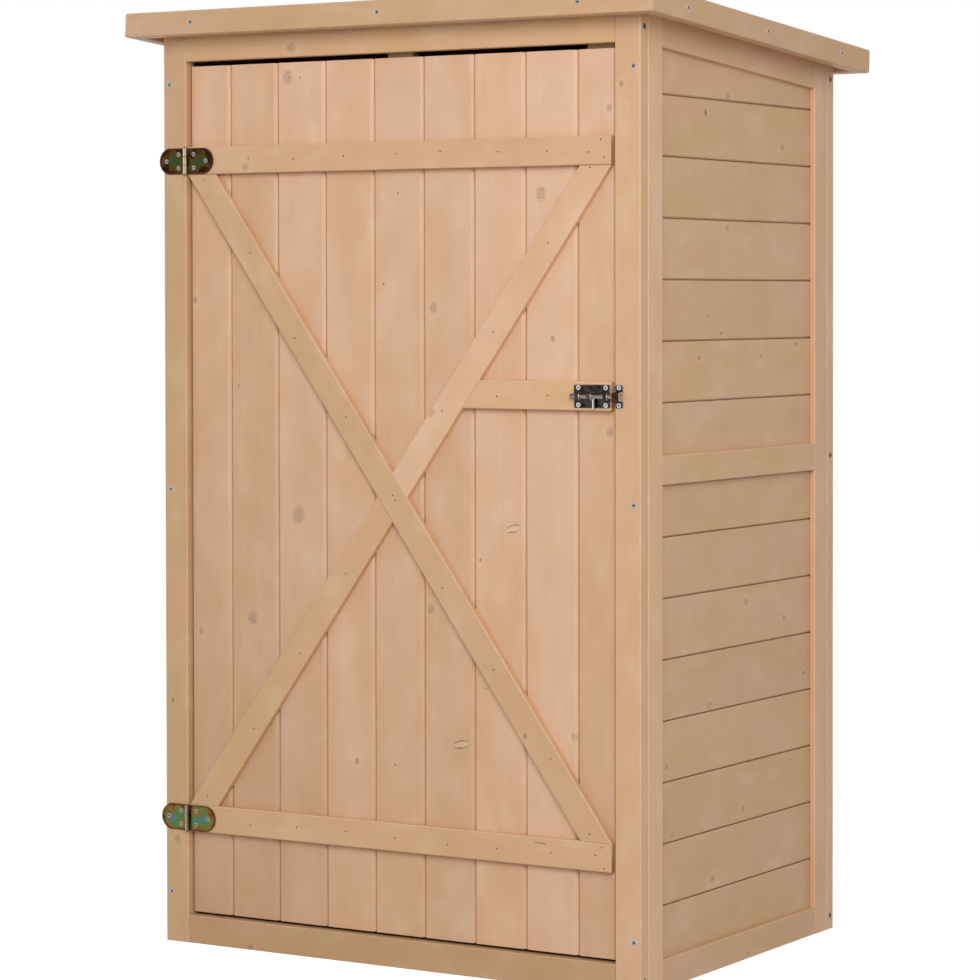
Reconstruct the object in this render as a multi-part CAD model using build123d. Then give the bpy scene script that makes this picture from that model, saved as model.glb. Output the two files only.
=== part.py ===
from build123d import *
import os
from math import cos, radians, sin, sqrt, tan

# A small garden tool shed in planed fir: four framed walls, a ledged and braced door on two round-ended
# hinges with a barrel bolt, a floor, a shelf and a roof that falls to the back.
# Millimetres. X runs to the right along the front, Y to the back and Z up.
# The origin is on the ground, in the middle of the overall box.

# Overall sizes
overall_height = 1150.0
roof_width = 750.0
roof_length = 553.3
roof_pitch = 4.0
roof_side_overhang = 35.0
roof_end_overhang = 31.65

# Frame battens: all frames are one section, rebated on the inside to take the boards
batten_width = 34.0
frame_thickness = 18.0
rebate_width = 10.5
rebate_lip = 7.0
sill_height = 36.0
arris_radius = 1.5

# Matched boards with a V joint on the show face
board_pitch = 71.2
board_thickness = 9.0
v_joint = 2.5
tongue_length = 5.0
tongue_thickness = 3.0
tongue_shoulder = 1.7
narrowest_rip = 12.0
lower_board_rows = 8
shelf_board_rows = 5

# Door
door_hinge_gap = 3.0
door_latch_gap = 5.0
door_top_gap = 6.0
door_bottom_gap = 2.0
first_door_board = 58.2
door_board_pitch = 70.8
ledge_width = 34.0
brace_width = 34.0
top_ledge_from_end = 99.7
bottom_ledge_from_end = 100.7
lock_ledge_height = 685.5
stop_width = 36.0
stop_thickness = 18.0
stop_lap = 16.0
stop_height = 44.0
latch_stop_from_post = 11.0

# Hinges
hinge_leaf_length = 41.0
hinge_height = 32.0
hinge_leaf_thickness = 1.5
hinge_barrel = 6.0
hinge_pin = 3.0
hinge_pin_head = 4.4
hinge_pin_head_height = 0.8
hinge_near_screw = 11.5
hinge_far_screw = 30.0
hinge_screw_rise = 8.3

# Barrel bolt
bolt_plate_height = 27.0
bolt_plate_thickness = 1.0
bolt_plate_from_edge = 0.5
bolt_diameter = 6.0
bolt_tail = 2.5
bolt_short_of_keep = 0.6
bolt_throw = 12.5
loop_width = 5.5
loop_wall = 1.4
first_loop = 5.5
middle_loop = 21.0
last_loop_from_end = 0.4
knob_diameter = 3.0
knob_length = 15.0
keep_width = 10.0
keep_height = 26.5
keep_from_edge = 1.0
keep_shoulder = 3.0
bolt_screw_inset_x = 6.0
bolt_screw_rise = 10.0

# Roof
fascia_height = 30.0
fascia_thickness = 18.0
felt_thickness = 2.0
felt_inset = 1.0
rafter_width = 34.0
rafter_thickness = 12.0
outer_rafter_from_edge = 100.0
side_screw_from_roof_end = 79.65

# Floor and shelf
bearer_width = 34.0
bearer_height = 18.0
cleat_thickness = 18.0

# Screws
screw_head = 7.0
screw_shank = 3.6
wall_screw_length = 38.0
wall_screw_from_end = 62.0
rail_screw_length = 60.0
fascia_screw_length = 40.0
small_head = 5.6
small_shank = 2.4
small_screw_length = 9.0

# Clearances
joint_gap = 0.4
tongue_gap = 0.2
end_gap = 0.4
stop_gap = 0.3
barrel_gap = 0.3
pin_gap = 0.06
bolt_gap = 0.4
keep_gap = 0.8
knob_gap = 0.12
knob_side_gap = 0.3
screw_gap = 0.1

# Planes that the pieces share
body_width = roof_width - 2 * roof_side_overhang
body_depth = roof_length - 2 * roof_end_overhang
half_width = body_width / 2
front_y = -body_depth / 2
rear_y = body_depth / 2
frame_back = front_y + frame_thickness
rear_frame_front = rear_y - frame_thickness
wall_depth = max(frame_thickness, rebate_lip + board_thickness)
inner_x = half_width - wall_depth
inner_rear_y = rear_y - wall_depth
opening_half = half_width - batten_width

# The roof is a flat panel tilted about X; its own frame has its top face at zero height
tilt = radians(roof_pitch)
roof_build = felt_inset + felt_thickness + board_thickness + rafter_thickness
roof_centre_y = fascia_height / 2 * sin(tilt)
roof_centre_z = overall_height - roof_length / 2 * sin(tilt)
roof_place = Pos(0, roof_centre_y, roof_centre_z) * Rot(-roof_pitch, 0, 0)

X_AXIS = Vector(1, 0, 0)
Y_AXIS = Vector(0, 1, 0)
Z_AXIS = Vector(0, 0, 1)

# Faces that show, as an outward direction and a distance from the origin
front_face = (-Y_AXIS, -front_y)
rear_face = (Y_AXIS, rear_y)
side_face = (X_AXIS, half_width)

# An arris counts as long from this length on, and as lying in a face within this distance
long_edge = 2 * batten_width
flush = 0.001


def wall_top(y, drop=0.0):
    """Height of the plane that the roof rests on, or of one that lies drop below it, at a depth y."""
    return roof_centre_z - (y - roof_centre_y) * tan(tilt) - (roof_build + drop) / cos(tilt)


lintel_bottom = wall_top(front_y) - batten_width
rear_rail_bottom = wall_top(rear_y) - batten_width
mid_rail_bottom = batten_width - rebate_width + lower_board_rows * board_pitch - rebate_width
mid_rail_top = mid_rail_bottom + batten_width
lower_field = batten_width - rebate_width
lower_field_top = mid_rail_bottom + rebate_width
upper_field = mid_rail_top - rebate_width


def block(x0, x1, y0, y1, z0, z1):
    """A square-edged piece between two opposite corners."""
    return Pos((x0 + x1) / 2, (y0 + y1) / 2, (z0 + z1) / 2) * Box(x1 - x0, y1 - y0, z1 - z0)


def prism(points, along, length):
    """A closed outline of points in space, pushed along a direction."""
    return extrude(make_face(Polyline(*points, close=True)), amount=length, dir=along)


def side_prism(outline, x0, x1):
    """An outline of (y, z) points carried from x0 to x1."""
    return prism([(x0, y, z) for y, z in outline], X_AXIS, x1 - x0)


def front_prism(outline, y0, y1):
    """An outline of (x, z) points carried from y0 to y1."""
    return prism([(x, y0, z) for x, z in outline], Y_AXIS, y1 - y0)


def upright(x0, x1, y0, y1, foot=0.0):
    """A post or rail whose top is cut to the fall of the roof."""
    return side_prism([(y0, foot), (y1, foot), (y1, wall_top(y1)), (y0, wall_top(y0))], x0, x1)


def eased(solid, *faces):
    """A batten with the long arrises rounded on its show faces, each an outward direction and a distance."""
    arrises = []
    for edge in solid.edges():
        ends = (edge @ 0, edge @ 1)
        shows = [all(abs(end.dot(out) - level) < flush for end in ends) for out, level in faces]
        if edge.length > long_edge and any(shows):
            arrises.append(edge)
    return solid.fillet(arris_radius, arrises)


def mirrored(solids):
    """The left-hand copies of right-hand pieces."""
    return [mirror(solid, about=Plane.YZ) for solid in solids]


def screw(at, into, head, shank, length, grow=0.0):
    """A countersunk screw, head flush at a point; grow turns it into the hole that it sits in."""
    head_radius = head / 2 + grow
    shank_radius = shank / 2 + grow
    cone = head_radius - shank_radius
    point = shank_radius
    outline = [
        (0, -grow),
        (head_radius, -grow),
        (head_radius, 0),
        (shank_radius, cone),
        (shank_radius, length - point),
        (0, length + grow),
    ]
    if grow == 0.0:
        outline = outline[:1] + outline[2:]
    face = make_face(Polyline(*[(x, 0, z) for x, z in outline], close=True))
    return Plane(origin=at, z_dir=into) * revolve(face, Axis.Z)


def screw_set(places, into, head, shank, length):
    """Screws at several points and the holes for them."""
    screws = [screw(at, into, head, shank, length) for at in places]
    holes = [screw(at, into, head, shank, length, screw_gap) for at in places]
    return screws, holes


def drilled(solid, holes):
    """A piece with its screw holes."""
    return solid - holes if holes else solid


def board_section(width, groove, tongue):
    """A matched board's (across, depth) outline; depth is zero on the V-jointed face."""
    tongue_back = board_thickness - tongue_shoulder
    tongue_front = tongue_back - tongue_thickness
    tip = width + tongue_length
    root = tongue_length + tongue_gap
    section = [(v_joint, 0)] if groove else [(0, 0)]
    if tongue:
        section += [(width - v_joint, 0), (width, v_joint), (width, tongue_front), (tip, tongue_front)]
        section += [(tip, tongue_back), (width, tongue_back)]
    else:
        section += [(width, 0)]
    section += [(width, board_thickness), (0, board_thickness)]
    if groove:
        back = tongue_back + tongue_gap
        front = tongue_front - tongue_gap
        section += [(0, back), (root, back), (root, front), (0, front), (0, v_joint)]
    return section


def board_rows(start, end, first, pitch=board_pitch):
    """Rows of matched boards that fill a width: (edge, width, groove, tongue), the last one ripped."""
    edges = [start]
    edge = start + first
    while edge < end - narrowest_rip:
        edges.append(edge)
        edge += pitch
    rows = []
    for index, low in enumerate(edges):
        last = index == len(edges) - 1
        width = end - low if last else edges[index + 1] - low - joint_gap
        rows.append((low, width, index > 0, not last))
    return rows


def matched_boards(rows, corner, across, depth, along, length):
    """Boards laid side by side: each section stands at its own edge and is pushed along the grain."""
    solids = []
    for edge, width, groove, tongue in rows:
        section = board_section(width, groove, tongue)
        points = [corner + across * (edge + u) + depth * w for u, w in section]
        solids.append(prism(points, along, length))
    return solids


nodes = {}

# Screws through the posts: into the side walls' stiles, and into the ends of the front and rear rails
stile_middle = half_width - frame_thickness / 2
front_screw_heights = [wall_screw_from_end, wall_top(front_y) / 2, wall_top(front_y) - wall_screw_from_end]
rear_screw_heights = [wall_screw_from_end, wall_top(rear_y) / 2, wall_top(rear_y) - wall_screw_from_end]
front_rail_heights = [sill_height / 2, lintel_bottom + batten_width / 2]
mid_rail_middle = mid_rail_bottom + batten_width / 2
rear_rail_heights = [batten_width / 2, mid_rail_middle, rear_rail_bottom + batten_width / 2]
wood_screw = (screw_head, screw_shank)

front_wall_screws, front_wall_holes = screw_set(
    [(stile_middle, front_y, z) for z in front_screw_heights], Y_AXIS, *wood_screw, wall_screw_length
)
rear_wall_screws, rear_wall_holes = screw_set(
    [(stile_middle, rear_y, z) for z in rear_screw_heights], -Y_AXIS, *wood_screw, wall_screw_length
)
front_rail_screws, front_rail_holes = screw_set(
    [(half_width, front_y + frame_thickness / 2, z) for z in front_rail_heights],
    -X_AXIS, *wood_screw, rail_screw_length,
)
rear_rail_screws, rear_rail_holes = screw_set(
    [(half_width, rear_y - frame_thickness / 2, z) for z in rear_rail_heights],
    -X_AXIS, *wood_screw, rail_screw_length,
)
nodes["wall_screws"] = front_wall_screws + rear_wall_screws
nodes["wall_screws"] += mirrored(nodes["wall_screws"])
nodes["rail_screws"] = front_rail_screws + rear_rail_screws
nodes["rail_screws"] += mirrored(nodes["rail_screws"])

# Hinge screws: two beside the barrel and one near the round end of each leaf
hinge_pin_x = -opening_half + door_hinge_gap / 2
hinge_pin_y = front_y - hinge_barrel / 2
door_left = -opening_half + door_hinge_gap
door_right = opening_half - door_latch_gap
door_bottom = sill_height + door_bottom_gap
door_top = lintel_bottom - door_top_gap
top_ledge_bottom = door_top - top_ledge_from_end - ledge_width
bottom_ledge_top = door_bottom + bottom_ledge_from_end + ledge_width
top_hinge_height = top_ledge_bottom + ledge_width / 2
bottom_hinge_height = bottom_ledge_top - ledge_width / 2
leaf_face = front_y - hinge_leaf_thickness
small_screw = (small_head, small_shank, small_screw_length)


def hinge_screw_places(height, side):
    """Screw points on one leaf; side is -1 on the post and 1 on the door."""
    near = hinge_pin_x + side * hinge_near_screw
    far = hinge_pin_x + side * hinge_far_screw
    return [
        (near, leaf_face, height + hinge_screw_rise),
        (near, leaf_face, height - hinge_screw_rise),
        (far, leaf_face, height),
    ]


hinge_heights = {"top": top_hinge_height, "bottom": bottom_hinge_height}
frame_leaf_screws = {}
door_leaf_screws = {}
for name, height in hinge_heights.items():
    on_post = hinge_screw_places(height, -1)
    on_door = hinge_screw_places(height, 1)
    frame_leaf_screws[name] = screw_set(on_post, Y_AXIS, *small_screw)
    door_leaf_screws[name] = screw_set(on_door, Y_AXIS, *small_screw)

# Bolt screws: four in the plate's corners, two in the keep
bolt_face = front_y - bolt_plate_thickness
knob_run = knob_diameter + bolt_throw + 2 * knob_side_gap
last_loop = middle_loop + loop_width + knob_run
plate_right = door_right - bolt_plate_from_edge
plate_left = plate_right - last_loop - loop_width - last_loop_from_end
keep_left = opening_half + keep_from_edge
bolt_screws, bolt_holes = screw_set(
    [
        (x, bolt_face, lock_ledge_height + rise)
        for x in (plate_left + bolt_screw_inset_x, plate_right - bolt_screw_inset_x)
        for rise in (-bolt_screw_rise, bolt_screw_rise)
    ],
    Y_AXIS, *small_screw,
)
keep_screws, keep_holes = screw_set(
    [
        (keep_left + keep_width / 2, bolt_face, lock_ledge_height + rise)
        for rise in (-bolt_screw_rise, bolt_screw_rise)
    ],
    Y_AXIS, *small_screw,
)
nodes["frame_hardware_screws"] = frame_leaf_screws["top"][0] + frame_leaf_screws["bottom"][0] + keep_screws
nodes["door_hardware_screws"] = door_leaf_screws["top"][0] + door_leaf_screws["bottom"][0] + bolt_screws

# Front frame: full-height posts with the lintel and the sill butted between them
post = eased(upright(opening_half, half_width, front_y, frame_back), front_face, side_face)
post = drilled(post, front_wall_holes + front_rail_holes)
nodes["front_right_post"] = [drilled(post, keep_holes)]
hinge_holes = frame_leaf_screws["top"][1] + frame_leaf_screws["bottom"][1]
nodes["front_left_post"] = [drilled(solid, hinge_holes) for solid in mirrored([post])]
front_rail_hole_pairs = front_rail_holes + mirrored(front_rail_holes)
lintel = upright(-opening_half, opening_half, front_y, frame_back, lintel_bottom)
nodes["front_lintel"] = [drilled(eased(lintel, front_face), front_rail_hole_pairs)]
sill = block(-opening_half, opening_half, front_y, frame_back, 0, sill_height)
nodes["front_sill"] = [drilled(eased(sill, front_face), front_rail_hole_pairs)]

# Door stops: two blocks behind the lintel, hanging into the way of the door's top edge
stop_bottom = door_top - stop_lap
stop_back = frame_back + stop_thickness
latch_stop_right = opening_half - latch_stop_from_post
nodes["door_stops"] = [
    block(right - stop_width, right, frame_back, stop_back, stop_bottom, stop_bottom + stop_height)
    for right in (stop_width / 2, latch_stop_right)
]

# Side walls: rebated stiles and rails round two fields of level boards, which end on the middle rail
lip_x = half_width - rebate_lip
frame_inner_x = half_width - frame_thickness
stile_front = frame_back + batten_width
stile_rear = rear_frame_front - batten_width
field_front = stile_front - rebate_width
field_rear = stile_rear + rebate_width
top_field_drop = batten_width - rebate_width


def below_roof(y0, y1, bottom, drop):
    """An outline of (y, z) points from a level bottom up to a plane below the roof."""
    return [(y0, bottom), (y1, bottom), (y1, wall_top(y1, drop)), (y0, wall_top(y0, drop))]


field_outline = below_roof(field_front, field_rear, lower_field, top_field_drop)
board_room = side_prism(field_outline, frame_inner_x, lip_x)

front_stile = upright(frame_inner_x, half_width, frame_back, stile_front) - board_room
rear_stile = upright(frame_inner_x, half_width, stile_rear, rear_frame_front) - board_room
top_rail_outline = [
    (stile_front, wall_top(stile_front, batten_width)),
    (stile_rear, wall_top(stile_rear, batten_width)),
    (stile_rear, wall_top(stile_rear)),
    (stile_front, wall_top(stile_front)),
]
top_rail = side_prism(top_rail_outline, frame_inner_x, half_width) - board_room
bottom_rail = block(frame_inner_x, half_width, stile_front, stile_rear, 0, batten_width) - board_room
mid_rail = block(lip_x, half_width, stile_front, stile_rear, mid_rail_bottom, mid_rail_top)
mid_rail += block(
    frame_inner_x, lip_x, field_front + end_gap, field_rear - end_gap, lower_field_top, upper_field
)

board_corner = Vector(lip_x, field_front + end_gap, 0)
board_length = field_rear - field_front - 2 * end_gap
lower_rows = board_rows(lower_field, lower_field_top - end_gap, board_pitch)
upper_rows = board_rows(upper_field, wall_top(field_front, top_field_drop) - end_gap, board_pitch)
lower_boards = matched_boards(lower_rows, board_corner, Z_AXIS, -X_AXIS, Y_AXIS, board_length)
upper_boards = matched_boards(upper_rows, board_corner, Z_AXIS, -X_AXIS, Y_AXIS, board_length)
upper_room = side_prism(
    below_roof(field_front, field_rear, lower_field_top, top_field_drop + end_gap), inner_x, lip_x
)

right_wall = {
    "front_stile": [drilled(eased(front_stile, side_face), front_wall_holes)],
    "rear_stile": [drilled(eased(rear_stile, side_face), rear_wall_holes)],
    "top_rail": [eased(top_rail, side_face)],
    "mid_rail": [eased(mid_rail, side_face)],
    "bottom_rail": [eased(bottom_rail, side_face)],
    "lower_boards": lower_boards,
    "upper_boards": [board & upper_room for board in upper_boards],
}
for name, solids in right_wall.items():
    nodes["right_" + name] = solids
    nodes["left_" + name] = mirrored(solids)

# Back wall: posts behind the side walls, with three rails butted between them and the same boards
rear_lip_y = rear_y - rebate_lip
rear_field_top = rear_rail_bottom + rebate_width
rear_field_half = opening_half + rebate_width
rear_room = block(
    -rear_field_half, rear_field_half, rear_frame_front, rear_lip_y, lower_field, rear_field_top
)
rear_post = upright(opening_half, half_width, rear_frame_front, rear_y) - rear_room
rear_post = drilled(eased(rear_post, rear_face, side_face), rear_wall_holes + rear_rail_holes)
nodes["rear_right_post"] = [rear_post]
nodes["rear_left_post"] = mirrored([rear_post])
rear_rail_hole_pairs = rear_rail_holes + mirrored(rear_rail_holes)
rear_top_rail = upright(-opening_half, opening_half, rear_frame_front, rear_y, rear_rail_bottom) - rear_room
rear_bottom_rail = block(-opening_half, opening_half, rear_frame_front, rear_y, 0, batten_width) - rear_room
rear_mid_rail = block(-opening_half, opening_half, rear_lip_y, rear_y, mid_rail_bottom, mid_rail_top)
rear_mid_rail += block(
    end_gap - rear_field_half, rear_field_half - end_gap,
    rear_frame_front, rear_lip_y, lower_field_top, upper_field,
)
nodes["rear_top_rail"] = [drilled(eased(rear_top_rail, rear_face), rear_rail_hole_pairs)]
nodes["rear_mid_rail"] = [drilled(eased(rear_mid_rail, rear_face), rear_rail_hole_pairs)]
nodes["rear_bottom_rail"] = [drilled(eased(rear_bottom_rail, rear_face), rear_rail_hole_pairs)]
rear_corner = Vector(end_gap - rear_field_half, rear_lip_y, 0)
rear_board_length = 2 * (rear_field_half - end_gap)
rear_upper_rows = board_rows(upper_field, rear_field_top - end_gap, board_pitch)
nodes["rear_boards"] = matched_boards(
    lower_rows + rear_upper_rows, rear_corner, Z_AXIS, -Y_AXIS, X_AXIS, rear_board_length
)

# Floor: boards on three bearers that lie on the ground between the sill and the back wall
bearer_edges = (-inner_x, -bearer_width / 2, inner_x - bearer_width)
nodes["floor_bearers"] = [
    block(x, x + bearer_width, frame_back, inner_rear_y, 0, bearer_height) for x in bearer_edges
]
floor_rows = board_rows(frame_back + end_gap, inner_rear_y - end_gap, board_pitch)
floor_corner = Vector(end_gap - inner_x, 0, bearer_height)
floor_length = 2 * (inner_x - end_gap)
nodes["floor_boards"] = matched_boards(
    floor_rows, floor_corner, Y_AXIS, Z_AXIS, X_AXIS, floor_length
)

# Shelf: boards on two cleats fixed to the middle rails, set against the back wall
shelf_back = inner_rear_y - end_gap
shelf_front = shelf_back - shelf_board_rows * board_pitch
cleat_inner_x = inner_x - cleat_thickness
right_cleat = block(cleat_inner_x, inner_x, shelf_front, shelf_back, mid_rail_bottom, mid_rail_top)
nodes["shelf_cleats"] = [right_cleat] + mirrored([right_cleat])
shelf_rows = board_rows(shelf_front, shelf_back, board_pitch)
shelf_corner = Vector(end_gap - inner_x, 0, mid_rail_top)
nodes["shelf_boards"] = matched_boards(
    shelf_rows, shelf_corner, Y_AXIS, Z_AXIS, X_AXIS, floor_length
)

# Door: upright boards behind two ledges, a lock ledge and crossed braces, all flush with the frame
ledge_thickness = frame_thickness - board_thickness - stop_gap
ledge_back = front_y + ledge_thickness
door_rows = board_rows(door_left, door_right, first_door_board, door_board_pitch)
door_corner = Vector(0, ledge_back, door_bottom)
nodes["door_boards"] = matched_boards(
    door_rows, door_corner, X_AXIS, Y_AXIS, Z_AXIS, door_top - door_bottom
)


def ledge(x0, x1, bottom):
    """A level batten across the face of the door."""
    return eased(block(x0, x1, front_y, ledge_back, bottom, bottom + ledge_width), front_face)


top_ledge = ledge(door_left, door_right, top_ledge_bottom)
bottom_ledge = ledge(door_left, door_right, bottom_ledge_top - ledge_width)
nodes["door_top_ledge"] = [drilled(top_ledge, door_leaf_screws["top"][1])]
nodes["door_bottom_ledge"] = [drilled(bottom_ledge, door_leaf_screws["bottom"][1])]

# Braces: a slanting batten whose level end cuts give it the right width square to its length
span = door_right - door_left
rise = top_ledge_bottom - bottom_ledge_top
width_sq = brace_width**2
brace_cut = sqrt(width_sq**2 * span**2 + (rise**2 - width_sq) * width_sq * (span**2 + rise**2))
brace_cut = (brace_cut - width_sq * span) / (rise**2 - width_sq)
long_brace = front_prism(
    [
        (door_left, top_ledge_bottom),
        (door_left + brace_cut, top_ledge_bottom),
        (door_right, bottom_ledge_top),
        (door_right - brace_cut, bottom_ledge_top),
    ],
    front_y, ledge_back,
)
cross_brace = front_prism(
    [
        (door_right, top_ledge_bottom),
        (door_right - brace_cut, top_ledge_bottom),
        (door_left, bottom_ledge_top),
        (door_left + brace_cut, bottom_ledge_top),
    ],
    front_y, ledge_back,
)
halves = (cross_brace - long_brace).solids().sort_by(Axis.Z)
nodes["door_long_brace"] = [eased(long_brace, front_face)]
nodes["door_lower_half_brace"] = [eased(halves[0], front_face)]
nodes["door_upper_half_brace"] = [eased(halves[-1], front_face)]


def brace_edge(z):
    """Where the lower edge of the crossing brace lies at a height."""
    return door_left + brace_cut + (z - bottom_ledge_top) * (span - brace_cut) / rise


lock_low = lock_ledge_height - ledge_width / 2
lock_high = lock_ledge_height + ledge_width / 2
lock_ledge = front_prism(
    [
        (brace_edge(lock_low), lock_low),
        (door_right, lock_low),
        (door_right, lock_high),
        (brace_edge(lock_high), lock_high),
    ],
    front_y, ledge_back,
)
nodes["door_lock_ledge"] = [drilled(eased(lock_ledge, front_face), bolt_holes)]


# Hinges: two leaves with round ends whose knuckles share a pin; the door's leaf has the middle knuckle
def hinge_leaf(height, side, knuckles, bore):
    """One leaf: a plate cut back beside the barrel, joined to it only at its own knuckles."""
    end_radius = hinge_height / 2
    clear = hinge_barrel / 2 + barrel_gap
    straight_end = hinge_leaf_length - end_radius
    outline = Pos((clear + straight_end) / 2, 0) * Rectangle(straight_end - clear, hinge_height)
    outline += Pos(straight_end, 0) * Circle(end_radius)
    leaf = extrude(outline, hinge_leaf_thickness)
    solid = Plane(origin=(hinge_pin_x, front_y, height), x_dir=(side, 0, 0), z_dir=(0, -1, 0)) * leaf
    for low, high in knuckles:
        barrel = Pos(hinge_pin_x, hinge_pin_y, (low + high) / 2) * Cylinder(hinge_barrel / 2, high - low)
        inner = min(hinge_pin_x, hinge_pin_x + side * clear)
        outer = max(hinge_pin_x, hinge_pin_x + side * clear)
        solid += barrel + block(inner, outer, leaf_face, front_y, low, high)
    return solid - Pos(hinge_pin_x, hinge_pin_y, height) * Cylinder(bore / 2, 2 * hinge_height)


knuckle = hinge_height / 3
for name, height in hinge_heights.items():
    low = height - hinge_height / 2
    high = height + hinge_height / 2
    ends = [(low, low + knuckle - barrel_gap), (high - knuckle + barrel_gap, high)]
    middle = [(low + knuckle, high - knuckle)]
    frame_leaf = hinge_leaf(height, -1, ends, hinge_pin + 2 * pin_gap)
    door_leaf = hinge_leaf(height, 1, middle, hinge_pin + 4 * pin_gap)
    nodes[name + "_hinge_frame_leaf"] = [drilled(frame_leaf, frame_leaf_screws[name][1])]
    nodes[name + "_hinge_door_leaf"] = [drilled(door_leaf, door_leaf_screws[name][1])]
    pin = Pos(hinge_pin_x, hinge_pin_y, height) * Cylinder(hinge_pin / 2, hinge_height)
    pin_head = Cylinder(hinge_pin_head / 2, hinge_pin_head_height)
    for face, way in ((low, -1), (high, 1)):
        pin += Pos(hinge_pin_x, hinge_pin_y, face + way * hinge_pin_head_height / 2) * pin_head
    nodes[name + "_hinge_pin"] = [pin]

# Barrel bolt: a plate with three pressed-up loops that guide a round bolt, and a keep on the post
bolt_radius = bolt_diameter / 2
bolt_y = bolt_face - bolt_gap - bolt_radius
bolt_tip = keep_left - bolt_short_of_keep


def rod(x0, x1, radius):
    """A round bar along X on the bolt's own axis."""
    return Pos((x0 + x1) / 2, bolt_y, lock_ledge_height) * Rot(0, 90, 0) * Cylinder(radius, x1 - x0)


def around_bolt(x0, x1, height, y0, y1):
    """A square-edged piece along the bolt, as much above its axis as below it."""
    return block(x0, x1, y0, y1, lock_ledge_height - height / 2, lock_ledge_height + height / 2)


def loop(x0, x1, radius):
    """A tunnel's outside or inside over the bolt: a round crown on two straight sides down to the plate."""
    arch = rod(x0, x1, radius) + around_bolt(x0, x1, 2 * radius, bolt_y, bolt_face)
    return arch - around_bolt(x0, x1, 2 * radius, bolt_face, frame_back)


guide_radius = bolt_radius + bolt_gap
loops = [(plate_left + edge, plate_left + edge + loop_width) for edge in (first_loop, middle_loop, last_loop)]
bolt_plate = around_bolt(plate_left, plate_right, bolt_plate_height, bolt_face, front_y)
for start, end in loops:
    bolt_plate += loop(start, end, guide_radius + loop_wall)
bolt_plate -= loop(plate_left, plate_right, guide_radius)
nodes["bolt_plate"] = [drilled(bolt_plate, bolt_holes)]

# Keep: a strap bent over the end of the bolt, with rounded shoulders, between two screwed feet
keep_right = keep_left + keep_width
keep_room = bolt_radius + keep_gap
keep_reach = keep_room + loop_wall
strap = around_bolt(keep_left, keep_right, 2 * keep_reach, bolt_y - keep_reach, bolt_face)
strap = strap.fillet(keep_shoulder, strap.edges().filter_by(Axis.X).group_by(Axis.Y)[0])
strap -= around_bolt(keep_left, keep_right, 2 * keep_room, bolt_y - keep_room, bolt_face)
keep = around_bolt(keep_left, keep_right, keep_height, bolt_face, front_y) + strap
nodes["bolt_keep"] = [drilled(keep, keep_holes)]
nodes["bolt_rod"] = [rod(plate_left - bolt_tail, bolt_tip, bolt_radius)]
knob_x = loops[1][1] + knob_side_gap + knob_diameter / 2
knob_drop = knob_length - knob_diameter / 2
stem = Pos(knob_x, bolt_y, lock_ledge_height - knob_drop / 2) * Cylinder(knob_diameter / 2, knob_drop)
stem += Pos(knob_x, bolt_y, lock_ledge_height - knob_drop) * Sphere(knob_diameter / 2)
nodes["bolt_knob"] = [stem - rod(plate_left, plate_right, bolt_radius + knob_gap)]

# Roof panel, in its own flat frame: mitred fascias round deck boards on rafters and edge battens
roof_half_width = roof_width / 2
roof_half_length = roof_length / 2
inside_half_width = roof_half_width - fascia_thickness
inside_half_length = roof_half_length - fascia_thickness
deck_top = -felt_inset - felt_thickness
deck_bottom = deck_top - board_thickness
fascia_middle = -fascia_height / 2
rafter_ways = (outer_rafter_from_edge - roof_half_width, 0, roof_half_width - outer_rafter_from_edge)
side_ways = (side_screw_from_roof_end - roof_half_length, 0, roof_half_length - side_screw_from_roof_end)


def fascia(outer, inner):
    """A mitred edge board between two outer and two inner corners."""
    corners = [(x, y, -fascia_height) for x, y in outer + inner]
    return prism(corners, Z_AXIS, fascia_height)


front_fascia = fascia(
    [(-roof_half_width, -roof_half_length), (roof_half_width, -roof_half_length)],
    [(inside_half_width, -inside_half_length), (-inside_half_width, -inside_half_length)],
)
right_fascia = fascia(
    [(roof_half_width, -roof_half_length), (roof_half_width, roof_half_length)],
    [(inside_half_width, inside_half_length), (inside_half_width, -inside_half_length)],
)


def rafter(x):
    """A flat batten from front to back under the deck, its middle at x."""
    left = x - rafter_width / 2
    right = x + rafter_width / 2
    return block(left, right, -inside_half_length, inside_half_length, -roof_build, deck_bottom)


rafters = [rafter(x) for x in rafter_ways]
right_edge_batten = rafter(inside_half_width - rafter_width / 2)
front_places = [(x, -roof_half_length, fascia_middle) for x in rafter_ways]
right_places = [(roof_half_width, y, fascia_middle) for y in side_ways]
front_screws, front_holes = screw_set(front_places, Y_AXIS, *wood_screw, fascia_screw_length)
right_screws, right_holes = screw_set(right_places, -X_AXIS, *wood_screw, fascia_screw_length)
front_fascia = drilled(eased(front_fascia, (-Y_AXIS, roof_half_length)), front_holes)
right_fascia = drilled(eased(right_fascia, (X_AXIS, roof_half_width)), right_holes)
right_edge_batten = drilled(right_edge_batten, right_holes)
rear_holes = [mirror(hole, about=Plane.XZ) for hole in front_holes]
rafters = [drilled(solid, front_holes + rear_holes) for solid in rafters]
rear_screws = [mirror(solid, about=Plane.XZ) for solid in front_screws]
deck_rows = board_rows(end_gap - inside_half_length, inside_half_length - end_gap, board_pitch)
deck_corner = Vector(end_gap - inside_half_width, 0, deck_bottom)
deck_length = 2 * (inside_half_width - end_gap)
deck = matched_boards(deck_rows, deck_corner, Y_AXIS, Z_AXIS, X_AXIS, deck_length)
felt = block(
    end_gap - inside_half_width, inside_half_width - end_gap,
    end_gap - inside_half_length, inside_half_length - end_gap,
    deck_top, deck_top + felt_thickness,
)
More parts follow.
